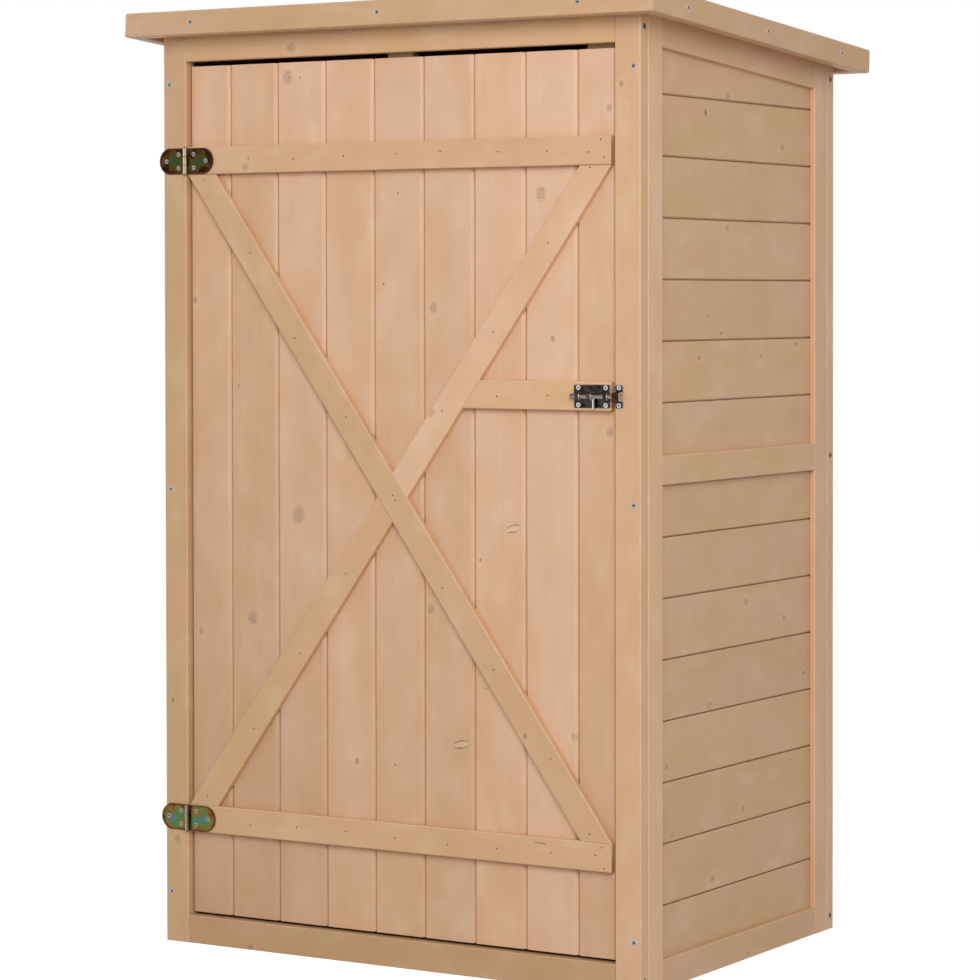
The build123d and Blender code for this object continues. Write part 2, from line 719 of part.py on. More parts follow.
roof_nodes = {
    "roof_front_fascia": [front_fascia],
    "roof_rear_fascia": [mirror(front_fascia, about=Plane.XZ)],
    "roof_right_fascia": [right_fascia],
    "roof_left_fascia": mirrored([right_fascia]),
    "roof_rafters": rafters,
    "roof_edge_battens": [right_edge_batten] + mirrored([right_edge_batten]),
    "roof_deck": deck,
    "roof_felt": [felt],
    "fascia_screws": front_screws + rear_screws + right_screws + mirrored(right_screws),
}
for name, solids in roof_nodes.items():
    nodes[name] = [roof_place * solid for solid in solids]

os.makedirs("parts", exist_ok=True)
for name, solids in nodes.items():
    pieces = [piece for solid in solids for piece in solid.solids()]
    shape = pieces[0] if len(pieces) == 1 else Compound(children=pieces)
    export_step(shape, os.path.join("parts", name + ".step"))
print(len(nodes), "nodes")
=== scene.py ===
import math
import bpy
import numpy as np
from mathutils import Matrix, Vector


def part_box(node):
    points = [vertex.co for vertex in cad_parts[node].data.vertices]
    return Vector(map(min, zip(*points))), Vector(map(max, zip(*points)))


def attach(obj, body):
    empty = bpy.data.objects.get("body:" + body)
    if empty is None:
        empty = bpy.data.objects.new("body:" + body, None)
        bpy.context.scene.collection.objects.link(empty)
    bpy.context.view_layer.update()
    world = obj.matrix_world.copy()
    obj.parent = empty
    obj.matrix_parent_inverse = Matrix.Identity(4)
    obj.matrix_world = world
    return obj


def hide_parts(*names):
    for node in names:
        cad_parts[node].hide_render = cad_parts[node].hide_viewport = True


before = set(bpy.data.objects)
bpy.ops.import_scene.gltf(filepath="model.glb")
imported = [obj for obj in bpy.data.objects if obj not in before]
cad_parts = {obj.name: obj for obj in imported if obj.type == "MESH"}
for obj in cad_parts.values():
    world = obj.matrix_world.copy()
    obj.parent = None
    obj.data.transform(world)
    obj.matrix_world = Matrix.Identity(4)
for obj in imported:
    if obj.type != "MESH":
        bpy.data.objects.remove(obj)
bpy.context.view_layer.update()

mm = 0.001

# Side walls: stiles and rails of planed fir, 34 by 18, rebated inside round two fields of matched boards.
# The battens are butted, pinned and stained; the boards lie level, tongue up, their V joint outside.
# The finish is a thin satin stain through which rings, fibre, clouds and knots still show.
X = np.array([1.0, 0.0, 0.0])
Y = np.array([0.0, 1.0, 0.0])
Z = np.array([0.0, 0.0, 1.0])
roof_pitch = math.radians(4.0)
down_slope = np.array([0.0, math.cos(roof_pitch), -math.sin(roof_pitch)])
off_roof = np.array([0.0, math.sin(roof_pitch), math.cos(roof_pitch)])
batten_width = 34 * mm
batten_thickness = 18 * mm
rebate_width = 10.5 * mm
rebate_lip = 7 * mm
arris = 1.6 * mm
end_ease = 0.5 * mm
board_pitch = 71.2 * mm
board_thickness = 9 * mm
joint_gap = 0.9 * mm
wall_joint = 1.6 * mm
narrowest_rip = 12 * mm
knots_to_a_board = 4
knot_stretch = 1.3
nowhere = np.array([99.0, 99.0, 0.001])
draw = np.random.default_rng(41)


def corners_of(node):
    """The lowest and the highest corner of a node of the frame, as arrays."""
    low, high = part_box(node)
    return np.array(low), np.array(high)


def eased(corners, radii, steps=3):
    """A closed outline whose corners are arcs, each tangent to the two sides that meet at its corner and
    walked in equal turns. The second array says how far a point stands on its arris: 0 at the tangents and
    1 between them."""
    corner = np.array(corners, float)
    radius = np.broadcast_to(np.array(radii, float), len(corner))
    leaving = np.roll(corner, -1, axis=0) - corner
    leaving /= np.linalg.norm(leaving, axis=1)[:, None]
    arriving = np.roll(leaving, 1, axis=0)
    cross = arriving[:, 0] * leaving[:, 1] - arriving[:, 1] * leaving[:, 0]
    turn = np.arctan2(cross, (arriving * leaving).sum(axis=1))
    start = corner - arriving * (radius * np.tan(np.abs(turn) / 2))[:, None]
    to_centre = np.stack([-arriving[:, 1], arriving[:, 0]], axis=1) * np.sign(turn)[:, None]
    centre = start + to_centre * radius[:, None]
    spoke = start - centre
    share = np.linspace(0, 1, steps + 1)
    angle = turn[:, None] * share
    x = spoke[:, :1] * np.cos(angle) - spoke[:, 1:] * np.sin(angle)
    y = spoke[:, :1] * np.sin(angle) + spoke[:, 1:] * np.cos(angle)
    points = centre[:, None] + np.stack([x, y], axis=2)
    wear_and_painted_light = np.broadcast_to(np.sin(np.pi * share), x.shape)
    return points.reshape(-1, 2), wear_and_painted_light.reshape(-1)


def skin(rings, width):
    """The faces over closed rings of points: quads from ring to ring, a many-sided face at each end."""
    here = np.arange(width)
    beside = (here + 1) % width
    row = np.arange(rings - 1)[:, None] * width
    quads = np.stack([row + here, row + beside, row + width + beside, row + width + here], axis=2)
    return quads.reshape(-1, 4).tolist() + [here[::-1].tolist(), ((rings - 1) * width + here).tolist()]


def carried(outline, origin, along, across, depth, ends, ease=end_ease, trim=None, rim=0.0):
    """An outline in (across, depth) carried along a straight path between two cut planes, each a point and a
    normal. At each end it draws in on a quarter circle, so that the end arrises are round; rim says how
    bright these are painted, as wear and painted highlight. A trim plane cuts the far edge."""
    flat, wear_and_painted_light = outline
    chord = np.roll(flat, -1, axis=0) - np.roll(flat, 1, axis=0)
    area = np.sum(flat[:, 0] * np.roll(flat[:, 1], -1) - np.roll(flat[:, 0], -1) * flat[:, 1])
    outward = np.stack([chord[:, 1], -chord[:, 0]], axis=1) * np.sign(area)
    outward /= np.linalg.norm(outward, axis=1)[:, None]
    bend = np.linspace(0, np.pi / 2, 4)
    inset = ease * (1 - np.sin(bend))
    advance = ease * (1 - np.cos(bend))
    rings = []
    reaches = []
    for (point, normal), way in zip(ends, (1, -1)):
        ring = flat[None] - outward[None] * inset[:, None, None]
        base = origin + ring[..., :1] * across + ring[..., 1:] * depth
        reach = (point - base) @ normal / (along @ normal) + way * advance[:, None]
        rings.append(ring[::way])
        reaches.append(reach[::way])
    ring = np.concatenate(rings)
    reach = np.concatenate(reaches)
    points = origin + ring[..., :1] * across + ring[..., 1:] * depth + reach[..., None] * along
    if trim is not None:
        over = np.maximum((points - trim[0]) @ trim[1] / (across @ trim[1]), 0)
        points = points - over[..., None] * across
    faces = skin(*reach.shape)
    if np.dot(np.cross(across, depth), along) * area < 0:
        faces = [face[::-1] for face in faces]
    grain = np.concatenate([reach[..., None], ring], axis=2)
    end_highlight_and_wear = rim * np.concatenate([np.cos(bend), np.cos(bend[::-1])])[:, None]
    return {
        "points": points.reshape(-1, 3),
        "faces": faces,
        "grain": grain.reshape(-1, 3),
        "wear_and_painted_light": (wear_and_painted_light + end_highlight_and_wear * (1 - wear_and_painted_light)).reshape(-1),
    }


def stick(outline, origin, along, across, depth, ends, warmth, value=1.0, marks=(), ease=end_ease, trim=None):
    """A length of timber: a carried outline with its own draw of grain and tint, and the marks that fall on
    it. A mark is a point on the face and the radius of a knot, or, below zero, half the width of a streak of
    bark. One more number, its length over its width, makes a dark slot. Warmth runs from pink, 0, to straw,
    1; value lightens. Either may be a pair, for the start and the end, with a straight run between them."""
    slot_depth = 1 * mm
    tint_spread = 0.24
    light_spread = 0.05
    piece = carried(outline, origin, along, across, depth, ends, ease, trim)
    grain = piece["grain"]
    low = grain.min(axis=0)
    high = grain.max(axis=0)
    knots = []
    streak = np.tile(nowhere, (len(grain), 1))
    for x, y, z, radius, *stretch in marks:
        apart = np.array([x, y, z]) * mm - origin
        spot = np.array([apart @ along, apart @ across])
        if np.any(spot < low[:2]) or np.any(spot > high[:2]):
            continue
        size = abs(radius) * mm
        off = (grain[:, :2] - spot) / size
        long = stretch[0] if stretch else knot_stretch
        deep = slot_depth if stretch else size
        if radius > 0:
            knots.append(np.column_stack([off[:, 0] / long, off[:, 1], np.full(len(grain), deep)]))
        else:
            streak = np.column_stack([off * [size, 1], np.full(len(grain), size)])
    knots += [np.tile(nowhere, (len(grain), 1))] * (knots_to_a_board - len(knots))
    for number, knot in enumerate(knots):
        piece["knot_%d" % number] = knot
    piece["streak"] = streak
    seed, tint, light = draw.random(3)
    share = (grain[:, 0] - low[0]) / (high[0] - low[0])
    warmth = np.interp(share, (0, 1), np.broadcast_to(warmth, 2)) + tint_spread * (tint - 0.5)
    value = np.interp(share, (0, 1), np.broadcast_to(value, 2)) * (1 + light_spread * (light - 0.5))
    piece["board"] = np.column_stack([np.full(len(grain), seed), warmth, value])
    return piece


def piece_of(name, parts, material, body, slot, *nodes):
    """One mesh object from several carried parts, smooth on its round arrises and flat between them. It rides
    on its body, takes the material given and stands for the nodes named. The slot is not used."""
    sharpest_round = math.radians(40)
    starts = np.cumsum([0] + [len(part["points"]) for part in parts])
    faces = []
    for part, start in zip(parts, starts):
        faces += [[corner + start for corner in face] for face in part["faces"]]
    mesh = bpy.data.meshes.new(name)
    mesh.from_pydata(np.concatenate([part["points"] for part in parts]).tolist(), [], faces)
    for key in parts[0]:
        if key in ("points", "faces"):
            continue
        values = np.concatenate([part[key] for part in parts]).astype(np.float32)
        kind, field = ("FLOAT", "value") if values.ndim == 1 else ("FLOAT_VECTOR", "vector")
        mesh.attributes.new(key, kind, "POINT").data.foreach_set(field, values.ravel())
    mesh.shade_smooth()
    mesh.set_sharp_from_angle(angle=sharpest_round)
    mesh.materials.append(material)
    made = bpy.data.objects.new(name, mesh)
    bpy.context.scene.collection.objects.link(made)
    flat_sides = made.modifiers.new("flat sides", "WEIGHTED_NORMAL")
    flat_sides.keep_sharp = True
    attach(made, body)
    if nodes:
        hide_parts(*nodes)
    return made


def linear(colour):
    """An sRGB hex value as linear red, green, blue and full alpha."""
    srgb = np.array([int(colour[i:i + 2], 16) for i in (0, 2, 4)]) / 255
    straight = np.where(srgb <= 0.04045, srgb / 12.92, ((srgb + 0.055) / 1.055) ** 2.4)
    return (*straight, 1.0)


def bare_material(name):
    """A material with nothing in its node tree yet, and the tree."""
    material = bpy.data.materials.new(name)
    material.use_nodes = True
    material.node_tree.nodes.clear()
    return material, material.node_tree


def add(tree, kind, *inputs, out=0, **settings):
    """A node with its settings. Its inputs, in order or by name, are set or linked. Gives back one output,
    or several."""
    node = tree.nodes.new("ShaderNode" + kind)
    for name, value in settings.items():
        setattr(node, name, value)
    named = inputs[0] if inputs and isinstance(inputs[0], dict) else dict(enumerate(inputs))
    for name, value in named.items():
        if isinstance(value, bpy.types.NodeSocket):
            tree.links.new(value, node.inputs[name])
        else:
            node.inputs[name].default_value = value
    return [node.outputs[key] for key in out] if isinstance(out, tuple) else node.outputs[out]


def stained_fir():
    """Planed fir under a thin satin stain: pale early wood that darkens into narrow late wood, fine fibre
    along the grain, slow clouds from pink to straw and grey knots that the rings flow round. Arrises and the
    tongue-side V bevels are painted paler, partly rubbed wear and partly painted highlight. Crevices, the
    groove-side V bevels, the ledges' lower arrises and board edges under the rails' lips are painted darker,
    partly soaked stain and partly painted shade."""
    pink = linear("DFB799")
    peach = linear("D9AE88")
    straw = linear("D4AB7B")
    late_wood = linear("B98B63")
    pale = linear("ECD0B2")
    knot_grey = linear("A07C6A")
    knot_line = linear("8A6850")
    bark = linear("5A4334")
    stain_and_shade = linear("80481E")
    ring_spacing = 5 * mm
    fibre_width = 0.9 * mm
    cloud_width = 55 * mm
    bloom_width = 38 * mm
    heart_width = 3.5 * mm
    soft = {"interpolation_type": "SMOOTHSTEP"}
    material, tree = bare_material("stained_planed_fir")
    grain = add(tree, "Attribute", out="Vector", attribute_name="grain")
    nature = add(tree, "Attribute", out="Vector", attribute_name="board")
    wear_and_painted_light = add(tree, "Attribute", out="Fac", attribute_name="wear_and_painted_light")
    seed, warmth, value = add(tree, "SeparateXYZ", nature, out=(0, 1, 2))
    along, across, depth = add(tree, "SeparateXYZ", grain, out=(0, 1, 2))
    shift = add(tree, "VectorMath", {0: (53.0, 17.0, 7.0), "Scale": seed}, operation="SCALE")
    noise = {}
    for name, stretch, detail in (
        ("heart", (1 / heart_width, 1 / heart_width, 0.0), 3.0),
        ("wander", (1.7, 0.0, 0.0), 1.0),
        ("jitter", (6.0, 60.0, 60.0), 3.0),
        ("fibre", (9.0, 1 / fibre_width, 1 / fibre_width), 2.0),
        ("cloud", (7.0, 1 / cloud_width, 1 / cloud_width), 2.0),
        ("blush", (2.5, 14.0, 14.0), 1.0),
        ("bloom", (17.0, 1 / bloom_width, 1 / bloom_width), 2.0),
        ("fleck", (120.0, 200.0, 200.0), 2.0),
    ):
        spot = add(tree, "VectorMath", grain, stretch, shift, operation="MULTIPLY_ADD")
        noise[name] = add(tree, "TexNoise", {"Vector": spot, "Scale": 1.0, "Detail": detail})

    # Knots: ragged ovals with rings of their own and a pale halo; each pushes the board's rings aside
    pull = inside = halo = lines = pin = 0.0
    for number in range(knots_to_a_board):
        knot = add(tree, "Attribute", out="Vector", attribute_name="knot_%d" % number)
        off_across, radius = add(tree, "SeparateXYZ", knot, out=(1, 2))
        flat = add(tree, "VectorMath", knot, (1.0, 1.0, 0.0), operation="MULTIPLY")
        far = add(tree, "VectorMath", flat, operation="LENGTH", out="Value")
        ragged = add(tree, "Math", noise["heart"], 0.9, far, operation="MULTIPLY_ADD")
        swell = add(tree, "Math", far, far, operation="MULTIPLY")
        swell = add(tree, "Math", 0.8, swell, operation="POWER")
        reach = add(tree, "Math", off_across, radius, operation="MULTIPLY")
        reach = add(tree, "Math", reach, swell, operation="MULTIPLY")
        pull = add(tree, "Math", reach, -0.85, pull, operation="MULTIPLY_ADD")
        small = add(tree, "MapRange", radius, 4 * mm, 1.5 * mm)
        disc = add(tree, "MapRange", ragged, 1.65, 1.05, **soft)
        inside = add(tree, "Math", disc, inside, operation="MAXIMUM")
        glow = add(tree, "MapRange", ragged, 3.4, 1.5, **soft)
        halo = add(tree, "Math", glow, halo, operation="MAXIMUM")
        ripple = add(tree, "Math", ragged, 2.4, operation="MULTIPLY")
        ripple = add(tree, "Math", ripple, 0.5, operation="PINGPONG")
        ripple = add(tree, "MapRange", ripple, 0.34, 0.46, **soft)
        ripple = add(tree, "Math", ripple, disc, operation="MULTIPLY")
        lines = add(tree, "Math", ripple, lines, operation="MAXIMUM")
        pip = add(tree, "Math", disc, small, operation="MULTIPLY")
        pin = add(tree, "Math", pip, pin, operation="MAXIMUM")

    # Bark streak: an eye-shaped seam across the grain with a dark outline
    streak = add(tree, "Attribute", out="Vector", attribute_name="streak")
    off_along, off_across = add(tree, "SeparateXYZ", streak, out=(0, 1))
    bent = add(tree, "Math", off_across, -2.5 * mm, off_along, operation="MULTIPLY_ADD")
    bent = add(tree, "Math", noise["heart"], 4 * mm, bent, operation="MULTIPLY_ADD")
    bent = add(tree, "Math", bent, 2 * mm, operation="SUBTRACT")
    bent = add(tree, "Math", bent, operation="ABSOLUTE")
    belly = add(tree, "Math", off_across, off_across, operation="MULTIPLY")
    belly = add(tree, "Math", 1.0, belly, operation="SUBTRACT")
    belly = add(tree, "Math", belly, 0.02, operation="MAXIMUM")
    gash = add(tree, "Math", bent, belly, operation="DIVIDE")
    outer = add(tree, "MapRange", gash, 5.4 * mm, 4.6 * mm, **soft)
    inner = add(tree, "MapRange", gash, 3 * mm, 4 * mm, **soft)
    seam = add(tree, "Math", outer, inner, operation="MULTIPLY")

    # Rings: distance from a pith that lies off the board, in steps of a year's growth
    wander = add(tree, "Math", noise["wander"], 60 * mm, operation="MULTIPLY")
    turned = add(tree, "Math", seed, 7.3, operation="MULTIPLY")
    turned = add(tree, "Math", turned, operation="FRACT")
    pith_across = add(tree, "Math", turned, 120 * mm, operation="MULTIPLY")
    deep = add(tree, "Math", seed, 3.7, operation="MULTIPLY")
    deep = add(tree, "Math", deep, operation="FRACT")
    pith_depth = add(tree, "Math", deep, 60 * mm, 14 * mm, operation="MULTIPLY_ADD")
    sideways = add(tree, "Math", across, pull, operation="ADD")
    sideways = add(tree, "Math", sideways, wander, operation="ADD")
    sideways = add(tree, "Math", sideways, pith_across, operation="SUBTRACT")
    below = add(tree, "Math", depth, pith_depth, operation="ADD")
    from_pith = add(tree, "CombineXYZ", sideways, below)
    ring = add(tree, "VectorMath", from_pith, operation="LENGTH", out="Value")
    years = add(tree, "Math", ring, ring_spacing, operation="DIVIDE")
    years = add(tree, "Math", noise["jitter"], 1.4, years, operation="MULTIPLY_ADD")
    season = add(tree, "Math", years, operation="FRACT")
    late = add(tree, "Math", season, 4.0, operation="POWER")
    strong = add(tree, "MapRange", noise["blush"], 0.35, 0.7, 0.0, 0.1, **soft)
    late = add(tree, "Math", late, strong, operation="MULTIPLY")

    hue = add(tree, "Math", noise["cloud"], 1.3, warmth, operation="MULTIPLY_ADD")
    # Painted highlight and wear: arrises and tongue-side V bevels turn paler, in flecks.
    rub = add(tree, "MapRange", noise["fleck"], 0.58, 0.72, 0.22, 0.75)
    rubbed_and_highlit = add(tree, "Math", wear_and_painted_light, rub, operation="MULTIPLY")
    coats = (
        (add(tree, "MapRange", hue, 0.65, 1.2, **soft), peach),
        (add(tree, "MapRange", hue, 1.1, 1.65, **soft), straw),
        (add(tree, "MapRange", noise["bloom"], 0.5, 0.75, 0.0, 0.22, **soft), pale),
        (add(tree, "MapRange", noise["bloom"], 0.48, 0.25, 0.0, 0.12, **soft), late_wood),
        (late, late_wood),
        (add(tree, "MapRange", noise["fibre"], 0.55, 0.8, 0.0, 0.07), late_wood),
        (add(tree, "Math", halo, 0.12, operation="MULTIPLY"), pale),
        (add(tree, "Math", inside, 0.36, operation="MULTIPLY"), knot_grey),
        (add(tree, "Math", lines, 0.6, operation="MULTIPLY"), knot_line),
        (add(tree, "Math", pin, 0.75, operation="MULTIPLY"), knot_line),
        (add(tree, "MapRange", gash, 7 * mm, 2 * mm, 0.0, 0.3, **soft), pale),
        (add(tree, "Math", seam, 0.75, operation="MULTIPLY"), bark),
        (add(tree, "MapRange", rubbed_and_highlit, 0.0, 1.0), pale),
        # Painted shade and stain: crevices, groove-side V bevels and arrises in shade turn dark brown.
        (add(tree, "MapRange", wear_and_painted_light, 0.0, -1.0), stain_and_shade),
    )
    tone = pink
    for share, colour in coats:
        tone = add(tree, "Mix", {0: share, 6: tone, 7: colour}, out=2, data_type="RGBA")
    tone = add(tree, "VectorMath", {0: tone, "Scale": value}, operation="SCALE")
    bump = add(tree, "Bump", {"Strength": 0.15, "Distance": 0.25 * mm, "Height": noise["fibre"]})
    rough = add(tree, "MapRange", noise["fibre"], 0.0, 1.0, 0.42, 0.58)
    shader = add(tree, "BsdfPrincipled", {"Base Color": tone, "Roughness": rough, "Normal": bump})
    add(tree, "OutputMaterial", shader, out=())
    return material


def rectangle(width, thickness, radius=arris, steps=3):
    """A planed batten's outline, its face at depth 0."""
    return eased([(0, 0), (width, 0), (width, thickness), (0, thickness)], radius, steps)


def rebated(width, thickness):
    """A batten with a rebate behind its far edge, which leaves a lip over the boards."""
    inner = width - rebate_width
    corners = [(0, 0), (width, 0), (width, rebate_lip), (inner, rebate_lip)]
    corners += [(inner, thickness), (0, thickness)]
    return eased(corners, [arris, arris, 0.6 * mm, 0.3 * mm, arris, arris])


def double_rebated(width, thickness):
    """A middle rail's outline, with a rebate behind both edges."""
    left = rebate_width
    right = width - rebate_width
    corners = [(0, 0), (width, 0), (width, rebate_lip), (right, rebate_lip), (right, thickness)]
    corners += [(left, thickness), (left, rebate_lip), (0, rebate_lip)]
    return eased(corners, [arris, arris, 0.6 * mm, 0.3 * mm, arris, arris, 0.3 * mm, 0.6 * mm])


def matched(width, groove, tongue, v_joint=wall_joint, stain_and_shade=0.6, covered=0.0):
    """A matched board's outline: a V edge and a groove at 0, a V edge and a tongue at the width. Wear below
    zero paints dark: in the crevice it is partly dirt and stain that gather there and partly painted shade;
    on the V edge on the groove's side it is a painted shade; and, on a ripped board, it is a painted shadow
    line where a rail's lip covers it. The V edge on the tongue's side is painted paler, a painted highlight."""
    board_arris = 0.3 * mm
    face_skin = 0.02 * mm
    tongue_side_highlight = 0.3
    groove_side_shade = -0.25 * stain_and_shade
    line_start = 2.5 * mm
    line_end = 1.8 * mm
    tongue_length = 5 * mm
    tongue_front = 3.6 * mm
    tongue_back = 6 * mm
    slip = 0.2 * mm
    corners = [(v_joint, 0)] if groove else [(0, 0)]
    if tongue:
        tip = width + tongue_length
        corners += [(width - v_joint, 0), (width, v_joint), (width, tongue_front), (tip, tongue_front)]
        corners += [(tip, tongue_back), (width, tongue_back)]
    else:
        corners += [(width, 0)]
    corners += [(width, board_thickness), (0, board_thickness)]
    if groove:
        root = tongue_length + slip
        corners += [(0, tongue_back + slip), (root, tongue_back + slip)]
        corners += [(root, tongue_front - slip), (0, tongue_front - slip), (0, v_joint)]
    flat, wear_and_painted_light = eased(corners, board_arris, 2)
    depth = flat[:, 1]
    bevel = (depth > face_skin) & (depth <= v_joint)
    crevice = (depth > v_joint) & (depth <= tongue_back + slip)
    bevel_highlight_and_shade = np.where(flat[:, 0] > width / 2, tongue_side_highlight, groove_side_shade)
    wear_and_painted_light = np.where(bevel, bevel_highlight_and_shade, np.where(crevice, -stain_and_shade, wear_and_painted_light))
    # A painted shadow line just below the rail's lip, standing for the shade that the lip casts.
    if covered and not tongue:
        lip = width - covered
        flat = np.insert(flat, 3, [(lip - line_start, 0), (lip - line_end, 0)], axis=0)
        wear_and_painted_light = np.insert(wear_and_painted_light, 3, [0.0, -stain_and_shade])
    return flat, wear_and_painted_light


def rows_of_boards(start, end, first=board_pitch, pitch=board_pitch):
    """Edges and widths of the matched boards that fill a space. The first one's width is given, and the last
    is ripped."""
    edges = np.arange(start + first, end - narrowest_rip, pitch)
    edges = np.concatenate([[start], edges])
    widths = np.append(np.diff(edges) - joint_gap, end - edges[-1])
    last = len(edges) - 1
    return [(edge, width, row > 0, row < last) for row, (edge, width) in enumerate(zip(edges, widths))]


def boards(rows, corner, along, across, depth, ends, warmth, value=1.0, marks=(), trim=None, covered=0.0):
    """Matched boards side by side, each at its own edge."""
    return [
        stick(
            matched(width, groove, tongue, covered=covered), corner + across * edge, along, across, depth,
            ends, warmth, value, marks, trim=trim,
        )
        for edge, width, groove, tongue in rows
    ]


fir = stained_fir()


def fir_piece(name, parts, kind="batten", body="shed"):
    """A piece of stained fir, of battens or boards, that stands for the node of its name."""
    piece_of("fir_" + name, parts, fir, body, "fir_" + kind, name)


wall_knots = [
    (-78, 1017, 5, 0.7), (-74, 776, 2.2, 0.8), (-40, 756, 2.4, 0.8), (-94, 728, 3.4), (63, 727, 2.4, 0.8),
    (24, 742, 1), (154, 741, 2.8), (-24, 882, 4), (-24, 1039, 5), (118, 983, 5), (168, 984, 1), (23, 431, 5),
    (123, 404, 3.4), (15, 181, 4.2), (-158, 174, 4), (-173, 255, 3.4), (-62, 108, 5), (-70, 315, 5),
    (176, 330, 3), (15, 7, 3),
]
for hand, side in (("right", 1), ("left", -1)):
    outward = X * side
    low, high = corners_of(hand + "_front_stile")
    face = high * X if side > 0 else low * X
    section = rebated(batten_width, batten_thickness)
    knots = [(face[0] / mm, *knot) for knot in wall_knots]
    battens = {}
    for stile, across, value in (("front_stile", Y, 1.13), ("rear_stile", -Y, 1.01)):
        low, high = corners_of(hand + "_" + stile)
        edge = low[1] if stile == "front_stile" else high[1]
        roof_line = (np.array([0, low[1], high[2]]), off_roof)
        ends = [(0 * Z, Z), roof_line]
        battens[stile] = stick(section, face + Y * edge, Z, across, -outward, ends, 0.35, value)
    low, high = corners_of(hand + "_bottom_rail")
    between = [(low, Y), (high, Y)]
    foot = face + Y * low[1]
    battens["bottom_rail"] = stick(section, foot, Y, Z, -outward, between, 0.6, 0.91, knots)
    low, high = corners_of(hand + "_top_rail")
    head = face + Y * low[1] + Z * high[2]
    battens["top_rail"] = stick(section, head, down_slope, -off_roof, -outward, between, 0.5)
    low, high = corners_of(hand + "_mid_rail")
    section = double_rebated(batten_width, batten_thickness)
    battens["mid_rail"] = stick(section, face + Z * low[2], Y, Z, -outward, between, 0.75)
    for name, batten in battens.items():
        name = hand + "_" + name
        fir_piece(name, [batten])
    for field, warmth, value in (("lower", 0.7, 0.945), ("upper", 0.62, 0.99)):
        name = hand + "_" + field + "_boards"
        low, high = corners_of(name)
        show = high[0] if side > 0 else low[0]
        ends = [(low, Y), (high, Y)]
        rows = rows_of_boards(low[2], high[2])
        trim = (np.array([0, low[1], high[2]]), off_roof) if field == "upper" else None
        covered = high[2] - corners_of(hand + "_mid_rail")[0][2] if field == "lower" else 0.0
        made = boards(rows, X * show, Y, Z, -outward, ends, warmth, value, knots, trim, covered)
        fir_piece(name, made, "board")

# Front frame: two full-height posts with the lintel and the sill butted between them, planed fir again.
# The posts are screwed to the side walls' stiles; their tops and the lintel's follow the fall of the roof.
# The sill is planed down a little under the door, which leaves a dark gap there.
front_face = -245
front_spots = ((-146, 1101, 6), (315, 1042, 3), (-211, 4, 3), (-322, 127, 5), (-329, 300, 3))
front_knots = [(x, front_face, z, radius) for x, z, radius in front_spots]
sill_planed_off = 1.3 * mm
for name, warmth, value in (("front_right_post", 0.45, 1.0), ("front_left_post", 0.68, 0.96)):
    low, high = corners_of(name)
    ends = [(0 * Z, Z), (np.array([0, low[1], high[2]]), off_roof)]
    post = stick(rectangle(batten_width, batten_thickness), low, Z, X, Y, ends, warmth, value, front_knots)
    fir_piece(name, [post])
# The lintel's value of 1.05 is painted light: it lifts the lintel against the shade under the roof's
# overhang.
for name, warmth, value, fall, planed_off in (
    ("front_lintel", 0.9, 1.05, math.tan(roof_pitch), 0), ("front_sill", 0.95, 0.8, 0, sill_planed_off),
):
    low, high = corners_of(name)
    rise = high[2] - low[2] - planed_off
    back_rise = rise - batten_thickness * fall
    section = eased([(0, 0), (rise, 0), (back_rise, batten_thickness), (0, batten_thickness)], arris)
    rail = stick(section, low, X, Z, Y, [(low, X), (high, X)], warmth, value, front_knots)
    fir_piece(name, [rail])

# Back wall: two posts behind the side walls, three rails butted between them, and the same boards with
# their V joint outward. The posts cover the ends of the side walls and are screwed to them from behind.
for name, side in (("rear_right_post", 1), ("rear_left_post", -1)):
    low, high = corners_of(name)
    edge = high[0] if side > 0 else low[0]
    ends = [(0 * Z, Z), (np.array([0, low[1], high[2]]), off_roof)]
    corner = X * edge + Y * high[1]
    post = stick(rebated(batten_width, batten_thickness), corner, Z, -X * side, -Y, ends, 0.3)
    fir_piece(name, [post])
between = [(corners_of("rear_top_rail")[0], X), (corners_of("rear_top_rail")[1], X)]
for name, shape, across in (
    ("rear_top_rail", rebated, -Z), ("rear_mid_rail", double_rebated, Z), ("rear_bottom_rail", rebated, Z),
):
    low, high = corners_of(name)
    edge = low[2] if across[2] > 0 else low[2] + batten_width
    rail = stick(shape(batten_width, batten_thickness), Y * high[1] + Z * edge, X, across, -Y, between, 0.5)
    fir_piece(name, [rail])
low, high = corners_of("rear_boards")
lower_top = corners_of("rear_mid_rail")[0][2] + rebate_width - joint_gap
upper_start = corners_of("rear_mid_rail")[1][2] - rebate_width
rows = rows_of_boards(low[2], lower_top) + rows_of_boards(upper_start, high[2])
rear_face = 238
rear_spots = ((-180, 900, 6), (90, 760, 4), (210, 420, 7), (-60, 300, 3), (-240, 130, 5))
rear_knots = [(x, rear_face, z, radius) for x, z, radius in rear_spots]
made = boards(rows, Y * high[1], X, Z, -Y, [(low, X), (high, X)], 0.4, 1.0, rear_knots)
fir_piece("rear_boards", made, "board")

# Wall screws: zinc-plated steel, countersunk, with a cross recess. They are driven through the posts into the
# walls' stiles and through the posts' outer edges into the ends of the rails. The heads are dull grey with
# rims painted bright, partly wear and partly painted highlight.
screw_head = 7.4 * mm
screw_shank = 3.6 * mm
wall_screw_length = 38 * mm
rail_screw_length = 60 * mm
wall_screw_from_end = 62 * mm


